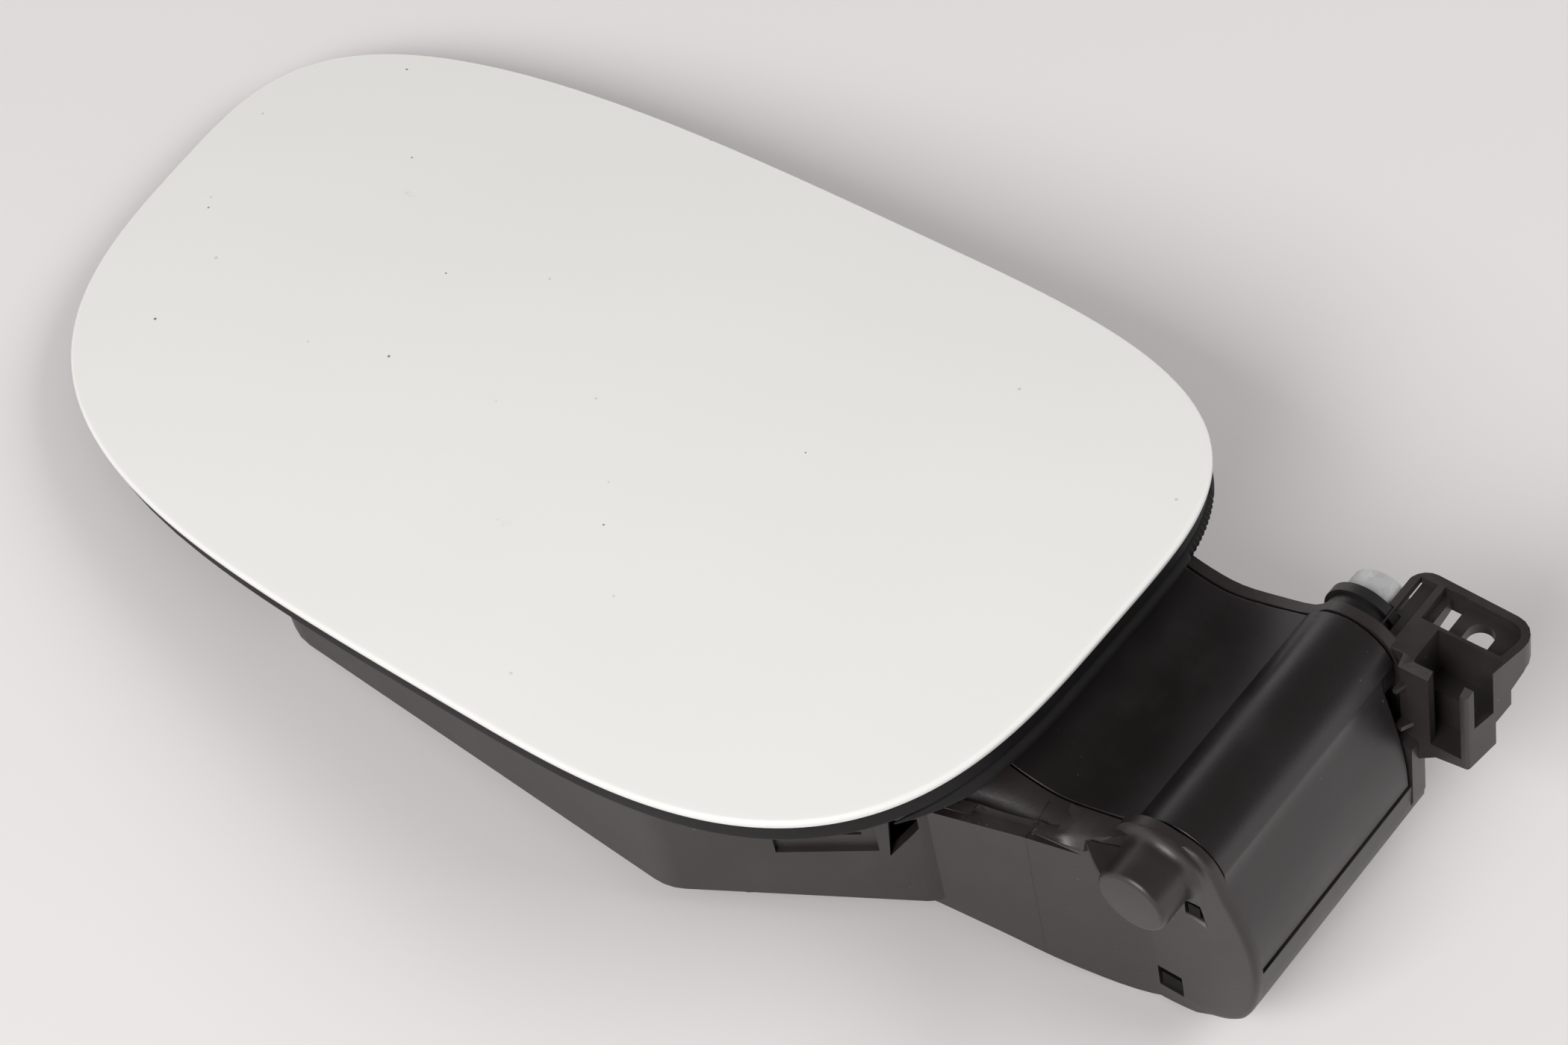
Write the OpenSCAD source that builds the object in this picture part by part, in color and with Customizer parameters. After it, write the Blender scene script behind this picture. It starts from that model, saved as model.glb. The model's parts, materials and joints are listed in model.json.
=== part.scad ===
// Car fuel filler flap with its gooseneck hinge, housing bowl and hinge box.
// Sizes are in millimetres. The part is drawn with the flap level and its crown at z = 0,
// then turned about Y to the attitude in which it rests on the bowl's edge and the hinge box.

/* [Flap] */
// Reach of the flap's outline from its own middle towards the lock end
flap_left = 125; // [112:0.5:136]
// Reach of the flap's outline from its own middle towards the hinge
flap_right = 79.5; // [70:0.5:86]
// Reach of the flap's outline on its far long side
flap_far = 53.7; // [46:0.1:57]
// Reach of the flap's outline on its near long side
flap_near = 65.3; // [60:0.1:69]
// Squareness of the hinge end's corners
flap_square_hinge = 3; // [2.6:0.05:3.6]
// Squareness of the lock end's corners
flap_square_lock = 3.2; // [2.6:0.05:3.8]
// Lean of the lock end, by which its far corner reaches further out than its near one
flap_lean = 0.116; // [0:0.002:0.16]
// Height of the crown across the flap's width
crown_h = 2.5; // [1:0.1:4]
// Sheet thickness of the painted skin
skin_t = 1.2; // [0.8:0.1:1.6]
// Depth of the skin's folded edge
skin_edge = 3.2; // [2.6:0.1:4]
// Radius of the rolled edge
roll_r = 2; // [1:0.1:2.4]

/* [Inner panel] */
// Thickness of the inner panel's web
panel_t = 2; // [1.6:0.1:2.6]
// Depth of the inner panel's rim below the skin's edge
rim_h = 2.9; // [2:0.1:4]
// Wall thickness of the rim
rim_t = 1.9; // [1.4:0.1:2.6]
// Set-back of the rim from the skin's outline
rim_inset = 0.9; // [0.6:0.1:1.2]
// Thickness of the stiffening ribs
rib_t = 1.6; // [1.2:0.1:2.2]
// Depth at which the ribs end, below the crown
rib_z = 7.4; // [6:0.1:7.8]
// Thickness of the rubber seal round the hinge end
seal_d = 3.1; // [2.4:0.1:3.6]

/* [Hinge] */
// Distance of the hinge pin from the flap's drawing centre
pin_x = 127.7; // [124:0.1:132]
// Depth of the hinge pin below the crown
pin_z = 15; // [14:0.1:17]
// Diameter of the steel pin
pin_d = 6; // [5:0.1:7]
// Running clearance of the arm on the pin, on the radius
pin_play = 0.05; // [0.03:0.01:0.1]
// Diameter of the pin's free end
pin_head_d = 11; // [10:0.1:11.4]
// Place of the pin's free end across the part
pin_head_y = 43.2; // [41:0.1:46]
// Radius of the arm's barrel
barrel_r = 8.8; // [8.6:0.1:9.4]
// Thickness of the arm's wall
arm_t = 2.2; // [1.8:0.1:2.6]
// Length of each of the arm's bearing knuckles
knuckle_l = 9; // [7:0.5:11]
// Diameter of the spring's wire
wire_d = 1.1; // [0.9:0.1:1.3]
// Turns of the spring
spring_turns = 6; // [4:1:8]

/* [Hinge box] */
// Inner face of the near cheek
box_near = 16; // [15:0.1:17]
// Inner face of the far cheek
box_far = 31; // [30:0.1:32]
// Gap between the arm and each cheek
side_gap = 0.4; // [0.3:0.05:0.6]
// Thickness of the cheeks at the pin
cheek_t = 1.9; // [1.6:0.1:2.4]
// Angle at which the near cheek spreads towards the bowl
cheek_spread = 19; // [16:0.5:21]
// Diameter of the closed boss over the pin's near end
boss_d = 12.4; // [11:0.1:14]
// Length of the closed boss
boss_l = 8.4; // [6:0.1:10]
// Diameter of the collar on the far side
collar_d = 12; // [11.8:0.1:13]
// Diameter of the collar's flange
collar_flange_d = 13.6; // [13.2:0.1:15]

/* [Bowl] */
// Left edge of the bowl
bowl_left = -31; // [-36:0.5:-26]
// Place of the bowl's near wall
bowl_near = 54; // [52:0.5:55]
// Place of the bowl's far wall
bowl_far = 50; // [46:0.5:52]
// Place where the near wall turns towards the hinge box
bowl_turn = 55; // [50:0.5:58]
// Radius of the bowl's corners
bowl_corner = 9; // [6:0.5:14]
// Height of the bowl's top edge below the crown
bowl_top = 10.5; // [9.8:0.1:12]
// Depth of the bowl at its left edge
bowl_deep = 22.9; // [21:0.1:25]
// Wall thickness of the bowl
wall_t = 2.2; // [1.8:0.1:2.6]

/* [Filler neck] */
// Place of the neck along the part
neck_x = 28; // [24:0.5:32]
// Place of the neck across the part
neck_y = -2; // [-4:0.5:0]
// Diameter of the neck that the seal fits
neck_d = 54; // [48:0.5:58]
// Wall of the rubber neck seal
neck_seal_t = 3; // [2.5:0.1:3.5]
// Height of the housing's collar round the seal
neck_collar_h = 7; // [5:0.5:9]

/* [Attitude] */
// Angle between the flap and the surface on which the part rests
lie_tilt = 12; // [10:0.25:14]

/* [Hidden] */
$fn = 48;

// Middle of the flap's outline, from which its four quarters reach out
flap_mid = [23, 5.7];
flap_steps = 96;
crown_half_w = 60;
pin_y_near = -23.6;
far_square_more = 0.65;
near_square_more = 0.3;
floor_fall = 0.138;
box_wall = 2;
lip_x = -39.5;
neck_z = -floor_depth(neck_x) + wall_t;

// One quarter's reach from the middle at polar angle a
function quarter(a, rx, ry, p) =
    pow(pow(abs(cos(a)) / rx, p) + pow(abs(sin(a)) / ry, p), -1 / p);
function flap_reach(a) = let (right = cos(a) >= 0, far = sin(a) >= 0)
    quarter(a, right ? flap_right : flap_left, far ? flap_far : flap_near,
        right ? flap_square_hinge + (far ? far_square_more : 0)
            : flap_square_lock + (far ? 0 : near_square_more));
// A point of the outline, led sideways where the lock end leans
function leaned(q) = [q[0] - (q[0] < 0 ? flap_lean : 0) * pow(q[0] / flap_left, 2) * q[1], q[1]];
flap_outline = [for (i = [0:flap_steps - 1]) let (a = 360 * i / flap_steps)
    flap_mid + leaned(flap_reach(a) * [cos(a), sin(a)])];

// Height of the crowned skin at y
function crown(y) = -crown_h * pow(y / crown_half_w, 2);

// Unit vector to the left of the way from a to b
function left_of(a, b) = let (d = b - a) [-d[1], d[0]] / norm(d);
// A closed outline, counter-clockwise, moved inward by d at each point
function inset(pts, d) = let (n = len(pts)) [for (i = [0:n - 1])
    pts[i] + (is_list(d) ? d[i] : d) * left_of(pts[(i + n - 1) % n], pts[(i + 1) % n])];
// An open line moved to its left by d
function shift_line(pts, d) = let (n = len(pts)) [for (i = [0:n - 1])
    pts[i] + d * left_of(pts[max(i - 1, 0)], pts[min(i + 1, n - 1)])];
function reversed(v) = [for (i = [len(v) - 1:-1:0]) v[i]];

// A smooth open line through the given points, with n steps a span
function spline(p, n) = let (m = len(p)) concat([for (k = [0:m - 2], j = [0:n - 1])
    let (t = j / n, a = p[max(k - 1, 0)], b = p[k], c = p[k + 1], d = p[min(k + 2, m - 1)])
        0.5 * (2 * b + (c - a) * t + (2 * a - 5 * b + 4 * c - d) * t * t
            + (3 * b - a - 3 * c + d) * t * t * t)], [p[m - 1]]);

// A polygon with its corners rounded: each corner is [x, y, radius]
function rounded(corners, step = 15) = let (n = len(corners)) [for (i = [0:n - 1])
    let (c = corners[i], q = [c[0], c[1]],
        a = [for (k = [0:1]) corners[(i + n - 1) % n][k]], b = [for (k = [0:1]) corners[(i + 1) % n][k]],
        u = (a - q) / norm(a - q), v = (b - q) / norm(b - q),
        half = acos(u * v) / 2, mid = (u + v) / norm(u + v),
        o = q + mid * c[2] / sin(half), turn = 180 - 2 * half,
        start = atan2(-(o - q)[1], -(o - q)[0]), side = u[0] * v[1] - u[1] * v[0] > 0 ? -1 : 1,
        m = max(1, ceil(turn / step)))
    each [for (k = [0:m]) let (g = start - side * (turn / 2 - turn * k / m))
        o + c[2] * [cos(g), sin(g)]]];

// A closed skin over rings of points, each end closed round its own middle
module loft(rings) {
    n = len(rings[0]);
    m = len(rings);
    ends = [for (r = [rings[0], rings[m - 1]]) [for (k = [0:2]) [for (p = r) p[k]] * [for (p = r) 1 / n]]];
    sides = [for (k = [0:m - 2], i = [0:n - 1]) let (j = (i + 1) % n)
        each [[k * n + i, (k + 1) * n + i, k * n + j], [k * n + j, (k + 1) * n + i, (k + 1) * n + j]]];
    caps = [for (i = [0:n - 1]) let (j = (i + 1) % n)
        each [[i, j, m * n], [(m - 1) * n + j, (m - 1) * n + i, m * n + 1]]];
    polyhedron(points = concat([for (r = rings) each r], ends), faces = concat(sides, caps), convexity = 8);
}

// A ring of the flap's outline, set in by d and lowered by drop below the crowned skin
function flap_ring(d, drop) = [for (p = inset(flap_outline, d)) [p[0], p[1], crown(p[1]) - drop]];
// A ring of the dome inside the edge, drawn towards the middle by the factor s
function flap_dome(s, drop) = [for (p = inset(flap_outline, roll_r + 1.2))
    let (q = flap_mid + s * (p - flap_mid)) [q[0], q[1], crown(q[1]) - drop]];

skin_in = skin_t + 0.2;
// Thickness of the adhesive that bonds the panel to the skin
bond = 0.12;
// Rings up the inside of the skin, or of the panel that lies a gap below it
function skin_inside(gap = 0) = [flap_dome(0.3, skin_t + gap), flap_dome(0.65, skin_t + gap),
    flap_dome(1, skin_t + gap), flap_ring(skin_in + gap, skin_t + 1 + gap),
    flap_ring(skin_in + gap, skin_edge + gap)];

// Painted skin with a rolled and folded edge
module flap_skin() color("white") lie() loft(concat(skin_inside(),
    [flap_ring(0.5, skin_edge), flap_ring(0, skin_edge - 0.6)],
    [for (a = [0:22.5:90]) flap_ring(roll_r * (1 - cos(a)), roll_r * (1 - sin(a)))],
    [flap_dome(1, 0), flap_dome(0.65, 0), flap_dome(0.3, 0)]));

// Screw pads that carry the arm's plate
plate_z = 5.4;
pad_r = 5;
seat_r = 5.5;
plate_x = 38;
plate_end = 80;
pads = [for (x = [plate_x + 9, plate_end - 9], y = [8 - box_near, box_far - 8]) [x, y]];
web_z = skin_t + panel_t;
rim_z = skin_edge + rim_h;

// Moulded inner panel with its rim, ribs and screw pads
module inner_panel() color("dimgray") lie() difference() {
    union() {
        loft(reversed(concat(skin_inside(bond), [flap_ring(rim_inset, skin_edge + bond),
            flap_ring(rim_inset, rim_z - 0.5), flap_ring(rim_inset + 0.5, rim_z),
            flap_ring(rim_inset + rim_t, rim_z), flap_ring(rim_inset + rim_t, web_z + 0.4),
            flap_dome(0.985, web_z), flap_dome(0.65, web_z), flap_dome(0.3, web_z)])));
        panel_ribs();
        for (p = pads) translate([p[0], p[1], -plate_z]) cylinder(r = pad_r, h = plate_z - skin_t - 0.8);
        for (p = buffer_seats) translate([p[0], p[1], -buffer_seat_z])
            cylinder(r = seat_r, h = buffer_seat_z + crown(abs(p[1]) + seat_r) - skin_t - 0.4);
    }
    for (p = pads) translate([p[0], p[1], -plate_z - 1]) cylinder(d = screw_d, h = 4);
    for (p = buffer_seats) translate([p[0], p[1], -buffer_seat_z - 1]) cylinder(d = buffer_stem_d, h = 3.4);
}

// Lattice of ribs inside the rim, left open where the arm's plate sits
rib_pitch = 24;
rib_inset = 6.5;
// Space from the ribs' lower edge up into the crowned web
module under_web() translate([-120, 0, 0]) rotate([90, 0, 90]) linear_extrude(240) polygon(concat(
    [[crown_half_w, -rib_z], [-crown_half_w, -rib_z]],
    [for (y = [-crown_half_w:6:crown_half_w]) [y, crown(y) - skin_t - panel_t / 2]]));
module panel_ribs() intersection() {
    translate([0, 0, -rib_z]) linear_extrude(rib_z) polygon(inset(flap_outline, rib_inset));
    under_web();
    difference() {
        union() {
            for (x = [-84:rib_pitch:84]) translate([x - rib_t / 2, -70, -rib_z]) cube([rib_t, 140, rib_z]);
            for (y = [-36:rib_pitch:36]) translate([-110, y - rib_t / 2, -rib_z]) cube([220, rib_t, rib_z]);
            translate([eye_x - 7, -9, -rib_z]) cube([14, 18, rib_z]);
            translate([hook_x - 6, hook_y - 6, -rib_z]) cube([12, 12, rib_z]);
        }
        translate([plate_x - 3, -box_near - 4, -30]) cube([100, box_near + box_far + 8, 30]);
        for (p = buffer_seats) translate([p[0], p[1], -30]) cylinder(r = seat_r + 1, h = 30);
    }
}

// Rubber seal that follows the panel's rim round the hinge end
seal_from = -16;
seal_to = 15;
module edge_seal() color("black") lie() loft([for (i = [seal_from:seal_to])
    let (n = flap_steps, k = (i + n) % n, p = flap_outline[k],
        w = left_of(flap_outline[(k + n - 1) % n], flap_outline[(k + 1) % n]),
        end = min(1, 0.45 + 0.3 * min(i - seal_from, seal_to - i)), r = seal_d / 2)
    [for (a = [0:30:330]) let (s = r + 0.2 + r * cos(a) * end, h = r + r * sin(a) * end)
        [p[0] + w[0] * s, p[1] + w[1] * s, crown(p[1]) - rim_z - h]]]);

// Side line of the arm's upper face, from the plate over the trough and barrel to the apron's edge
barrel_c = [1.5, -0.6];
apron_drop = 23.1;
plate_h = pin_z - plate_z;
trough_line = [[plate_x - pin_x, plate_h], [plate_end - pin_x, plate_h],
    [plate_end - pin_x + 4, plate_h - 0.8], [-38, 5.6], [-31.9, 1.8], [-26, -0.1], [-20, -0.5], [-12.8, 1.4]];
barrel_line = [for (a = [150:-12:18]) barrel_c + barrel_r * [cos(a), sin(a)]];
apron_line = [[barrel_c[0] + barrel_r - 0.2, -0.6], [11.3, -5.5], [12.8, -12.2], [13.6, -18],
    [13.8, -apron_drop]];
function steps(v, from, to) = [for (i = [from:to]) v[i]];
trough_top = concat([trough_line[0]], spline(steps(trough_line, 1, 7), 3));
full_line = concat(trough_top, barrel_line);
apron_top = spline(concat([barrel_line[len(barrel_line) - 1]], steps(apron_line, 0, 4)), 4);
function strip(line, t) = concat(line, reversed(shift_line(line, -t)));

// A side profile, given from the pin as [x, z], extruded across the part from y0 to y1
module across(profile, y0, y1) translate([pin_x, y1, -pin_z]) rotate([90, 0, 0])
    linear_extrude(y1 - y0) polygon(profile);
// A cylinder along the pin's axis from y0 to y1
module on_pin(d, y0, y1, c = [0, 0]) translate([pin_x + c[0], y1, c[1] - pin_z]) rotate([90, 0, 0])
    cylinder(d = d, h = y1 - y0);

arm_near = -box_near + side_gap;
arm_far = box_far - side_gap;
apron_far = 27.2;
screw_d = 3.4;
screw_head_h = 2;
arm_rib_t = 2;
arm_rib_top = plate_h - arm_t + 0.5;
arm_rib = [[plate_x - pin_x + 2, arm_rib_top], [-46, arm_rib_top], [-31, 0.4], [-20, -2], [-6, 1],
    [0, -5], [-12, -7.5], [-26, -8], [-44, 2.5]];

// Gooseneck arm: plate, trough, barrel with two knuckles, and the apron that closes the hinge box
module hinge_arm() color("#222222") lie() difference() {
    union() {
        across(strip(full_line, arm_t), arm_near, arm_far);
        across(strip(apron_top, arm_t - 0.2), arm_near, apron_far);
        for (y = [arm_near, arm_far - knuckle_l])
            on_pin(2 * barrel_r - 1, y, y + knuckle_l, barrel_c);
        for (y = [arm_near + 0.4, (arm_near + arm_far) / 2, arm_far - arm_rib_t - 0.4]) difference() {
            across(arm_rib, y, y + arm_rib_t);
            on_pin(2 * (barrel_r - arm_t), y - 1, y + arm_rib_t + 1, barrel_c);
        }
    }
    on_pin(pin_d + 2 * pin_play, arm_near - 1, arm_far + 1);
    for (p = pads) translate([p[0], p[1], -30]) cylinder(d = screw_d + 0.2, h = 30);
}

// Four pan head screws, driven up through the arm's plate into the panel's pads
module arm_screws() color("silver") lie() for (p = pads)
    translate([p[0], p[1], -plate_z - arm_t]) difference() {
        union() {
            cylinder(d = screw_d, h = arm_t + 2.9);
            rotate([180, 0, 0]) cylinder(d1 = 2.06 * screw_d, d2 = 1.6 * screw_d, h = screw_head_h);
        }
        translate([0, 0, -screw_head_h - 0.1])
            cylinder(d = 0.9 * screw_d, h = 0.7 * screw_head_h, $fn = 6);
    }

// Steel eye that the lock's bolt passes through
eye_x = -73;
eye_h = 3.6;
eye_rod = 2.6;
module lock_eye() color("silver") lie() translate([eye_x, 0, -rib_z]) {
    for (s = [-1, 1]) translate([0, 5 * s, -eye_h]) cylinder(d = eye_rod, h = eye_h);
    translate([0, 5, -eye_h]) rotate([90, 0, 0]) cylinder(d = eye_rod, h = 10);
    for (s = [-1, 1]) translate([0, 5 * s, -eye_h]) sphere(d = eye_rod);
}

// Hook on which the filler cap hangs while the tank is filled
hook_x = 12;
hook_y = -36;
module cap_hook() color("dimgray") lie() translate([hook_x, hook_y, -rib_z]) difference() {
    translate([-5, -5, -9]) cube([10, 10, 9]);
    translate([-6, -2.6, -7]) cube([12, 12, 4.6]);
    translate([-6, 2.2, -12]) cube([12, 12, 9]);
}

// Rubber buffers pressed into the panel: near, far and lock end
buffer_seat_z = 6.4;
buffer_stem_d = 4;
buffer_h = 2.6;
buffer_x = 50;
buffer_in = 9.5;
buffer_seats = [[buffer_x, buffer_in - bowl_near], [buffer_x, bowl_far - buffer_in], [-52, 0]];
module panel_buffer(p) color("black") lie() translate([p[0], p[1], -buffer_seat_z]) {
    rotate([180, 0, 0]) cylinder(d1 = 9, d2 = 6.5, h = buffer_h);
    cylinder(d = buffer_stem_d, h = 2.4);
}
module panel_buffer_near() panel_buffer(buffer_seats[0]);
module panel_buffer_far() panel_buffer(buffer_seats[1]);
module panel_buffer_lock() panel_buffer(buffer_seats[2]);

// Plan of the bowl, counter-clockwise, with its walls running in to the hinge box
box_x = 90;
function floor_depth(x) = bowl_deep + floor_fall * (x - bowl_left);
bowl_corners = [[bowl_left, -bowl_near, bowl_corner], [bowl_turn, -bowl_near, bowl_corner],
    [box_x + 2, -29.4, 6], [box_x + 2, box_far + box_wall, 6], [bowl_turn + 4, bowl_far, bowl_corner],
    [bowl_left, bowl_far, bowl_corner]];
bowl_plan = rounded(bowl_corners);
// The bowl's space, set in by d from its plan and raised by up from its sloping floor
module bowl_space(d, up, top) intersection() {
    translate([0, 0, -80]) linear_extrude(80 + top) polygon(inset(bowl_plan, d));
    translate([0, 100, 0]) rotate([90, 0, 0]) linear_extrude(200) polygon([
        for (e = [[-45, up - floor_depth(-45)], [110, up - floor_depth(110)], [110, 40], [-45, 40]]) e]);
}

// Side line of the near cheek: over the lip and crest, down past the apron, and back along the bottom
cheek_top = [[lip_x, 6.6], [-31.9, 1.8], [-26, -0.1], [-20, -0.5], [-12.8, 1.4], [-6.1, 3.8], [-2.6, 7.2],
    [1.5, 8.2], [6.4, 7.2], [9.3, 4.2], [11, -0.6], [13.4, -6.5], [15, -12.5], [15.6, -18], [15.4, -23],
    [14.5, -28]];
cheek_bottom = [[14.5, -28], [13.3, -31.4], [11.4, -34.6], [7.6, -37.4], [1, -39.6], [-7.7, -39.9],
    [-18.7, -36.2], [-28, -31.3], [-36.2, -27.1], [lip_x, -25.5]];
cheek_side = reversed(concat(spline(cheek_top, 3), steps(spline(cheek_bottom, 4), 1, 36)));
// Depth of the cheek's outer face at a distance x from the pin
function cheek_face(x) = box_near + cheek_t + max(0, -4 - x) * tan(cheek_spread);
module near_cheek() intersection() {
    across(cheek_side, -60, -box_near);
    translate([pin_x, 0, -80]) linear_extrude(100) polygon([[lip_x, -box_near], [lip_x, -cheek_face(lip_x)],
        [-4, -cheek_face(-4)], [20, -cheek_face(20)], [20, -box_near]]);
}

box_outer = concat(steps(spline(cheek_top, 3), 0, 45), steps(spline(cheek_bottom, 4), 1, 36));
end_gap = 0.4;
// Lower shell of the hinge box: the outer line below the apron's edge, and the same line set in
shell_outer = concat([[14.1, -apron_drop - end_gap]], [[13.9, -28]], steps(spline(cheek_bottom, 4), 3, 36));
shell_side = concat(shell_outer, reversed(shift_line(shell_outer, -box_wall)));
module box_shell() difference() {
    across(shell_side, -box_near - 0.5, box_far + 0.5);
    on_pin(2 * (norm([13.8, apron_drop]) + 0.3), -box_near, box_far);
}

// Far cheek, with the ledge that closes the gap beyond the apron and two fins over it
far_reach = 12.4;
ledge_side = [[11, -12.5], [14.4, -13.5], [14.2, -28], [12.4, -33.4], [10.2, -38.2], [7.5, -38.2], [5, -34],
    [11, -24]];
fin_t = 1;
fin_root = 11.4;
module far_cheek() {
    intersection() {
        across(box_outer, box_far, box_far + box_wall);
        translate([pin_x + far_reach - 80, box_far - 1, -80]) cube([80, box_wall + 2, 100]);
    }
    across(ledge_side, apron_far + end_gap, box_far + 0.2);
    // Each fin is given by its height and by its reach at the apron and at the cheek
    for (f = [[0.4, 12, 13.2], [-8.9, 12.6, 14.6]]) translate([pin_x, 0, f[0] - fin_t - pin_z])
        linear_extrude(fin_t) polygon([[fin_root, apron_far + end_gap], [f[1], apron_far + end_gap],
            [f[2], box_far + 0.5], [fin_root, box_far + 0.5]]);
}

// Bracket beyond the far cheek: a frame open at the top, with two windows, a channel and a plug pocket.
// Its corners are given as [x from the pin, y from the far cheek's inner face, radius]
bracket_corners = [[3.9, 0.4, 0.5], [11.1, 0.4, 0.3], [11.1, -1.5, 0.4], [23.5, -1.5, 0.6],
    [26.8, 15.4, 4], [3.9, 16.2, 3.5]];
bracket_plan = rounded([for (c = bracket_corners) [pin_x + c[0], box_far + c[1], c[2]]], 22.5);
bracket_top = 5;
bracket_side = [[3, bracket_top], [28, bracket_top], [28, -11], [23.4, -14.4], [17.5, -15.4], [13.4, -18.8],
    [11, -19], [11, -6], [3, -2.6]];
// Stepped lower edge of the bracket's walls, as [y from the far cheek's inner face, z]
bracket_end = [[-3, bracket_top - 2], [0.6, bracket_top], [18, bracket_top], [18, 0.6],
    [11.4, -0.6], [8, -3], [8, -6.6], [4.6, -8], [4.6, -13.4], [-3, -20]];
bracket_wall = 1.4;
bracket_open = 20;
channel_floor = 3.4;
tray_floor = 3;
pocket_floor = -12.4;
pocket_x = [13.1, 22.2];
pocket_y = 3.2;
module bracket_box(x, y, z) translate([pin_x + x[0], box_far + y[0], z[0] - pin_z])
    cube([x[1] - x[0], y[1] - y[0], z[1] - z[0]]);
module bracket() difference() {
    intersection() {
        translate([0, 0, -60]) linear_extrude(60) polygon(bracket_plan);
        across(bracket_side, box_far - 5, box_far + bracket_open);
        translate([pin_x, box_far, -pin_z]) rotate([90, 0, 90]) linear_extrude(40) polygon(bracket_end);
    }
    // Channel beside the left wall
    bracket_box([3.9 + bracket_wall, 8.4], [2.6, 16.2 - bracket_wall - 0.4], [channel_floor, bracket_open]);
    // Tray with the two windows
    intersection() {
        bracket_box([9.6, 40], [7.6, 30], [tray_floor, bracket_open]);
        translate([0, 0, -60]) linear_extrude(80) polygon(inset(bracket_plan, bracket_wall));
    }
    bracket_box([10.9, 13.7], [8.5, 14.6], [-30, bracket_open]);
    bracket_box([16, 20.6], [8.5, 10.6], [-30, bracket_open]);
    translate([pin_x + 18.3, box_far + 10.6, -40]) cylinder(r = 2.3, h = 40);
    // Plug pocket, open towards the near side
    bracket_box(pocket_x, [0, pocket_y], [pocket_floor, bracket_open]);
    bracket_box([16.6, pocket_x[1]], [-8, pocket_y], [pocket_floor, bracket_open]);
    bracket_box([pocket_x[0], 24.6], [0, 7], [-5, bracket_open]);
    // Hollow under the tray
    bracket_box([10.6, 22.4], [8.4, 14.6], [-30, 0.8]);
}

// Closed boss over the pin's near end, with a rounded rim and a fillet where it leaves the cheek
boss_end = box_near + cheek_t + boss_l;
module boss() translate([pin_x, 0, -pin_z]) rotate([90, 0, 0]) rotate_extrude() polygon(concat(
    [[0, box_near + 0.2], [boss_d / 2 + 2.6, box_near + 0.2], [boss_d / 2 + 2.6, box_near + cheek_t]],
    [for (a = [0:18:90]) [boss_d / 2 + 2.2 * (1 - sin(a)), box_near + cheek_t + 2 * (1 - cos(a))]],
    [for (a = [0:22.5:90]) [boss_d / 2 - 1 + cos(a), boss_end - 1 + sin(a)]],
    [[0, boss_end]]));

// Triangular web between the boss and the cheek's lip
module gusset() translate([pin_x, 0, -pin_z - 1.2]) linear_extrude(1.6) polygon([[-4, -16.3], [-4, -25],
    [-6.5, -24.6], [-9, -23], [-12.5, -20.4], [-17.6, -17.6], [-17.8, -16.3]]);

// Slab along the near cheek's slanted face, from depth d to outside it
module cheek_skin(d) translate([0, 0, -80]) linear_extrude(80) polygon([
    for (p = [[lip_x, 1], [-4, 1], [-4, 0], [lip_x, 0]])
        [pin_x + p[0], -cheek_face(p[0]) + (p[1] == 1 ? -8 : d)]]);
groove_upper = [[-37, 6.6], [-26, 3.4], [-14.6, 1.7], [-24, 1.4], [-37, 3.2]];
groove_lower = [[-37, 1.6], [-21.5, 0], [-13.1, -4.1], [-22, -2.4], [-37, -0.6]];

// Pocket and slot for the body's clip in the wall that runs in to the hinge box
turn_angle = atan2(bowl_near - 29.4, box_x + 2 - bowl_turn);
module on_turned_wall(s)
    translate([bowl_turn, -bowl_near, 0]) rotate([0, 0, turn_angle]) translate([s, 0, 0]) children();
module clip_pocket() {
    on_turned_wall(19) translate([0, -1, -25.2]) cube([16.5, 2, 12]);
    on_turned_wall(21) translate([0, -1, -22.1]) cube([12, 9, 0.7]);
}
// Three-cornered recess where the slanted wall meets the hinge box
module corner_recess() on_turned_wall(0) rotate([90, 0, 0]) translate([0, 0, -2.6]) linear_extrude(4)
    polygon([[37.9, -17], [37, -26.7], [42.4, -19.5], [42.4, -17]]);
module foot_pad() on_turned_wall(12) translate([0, 1.5, -38.6]) cube([21, 8, 4]);

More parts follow.
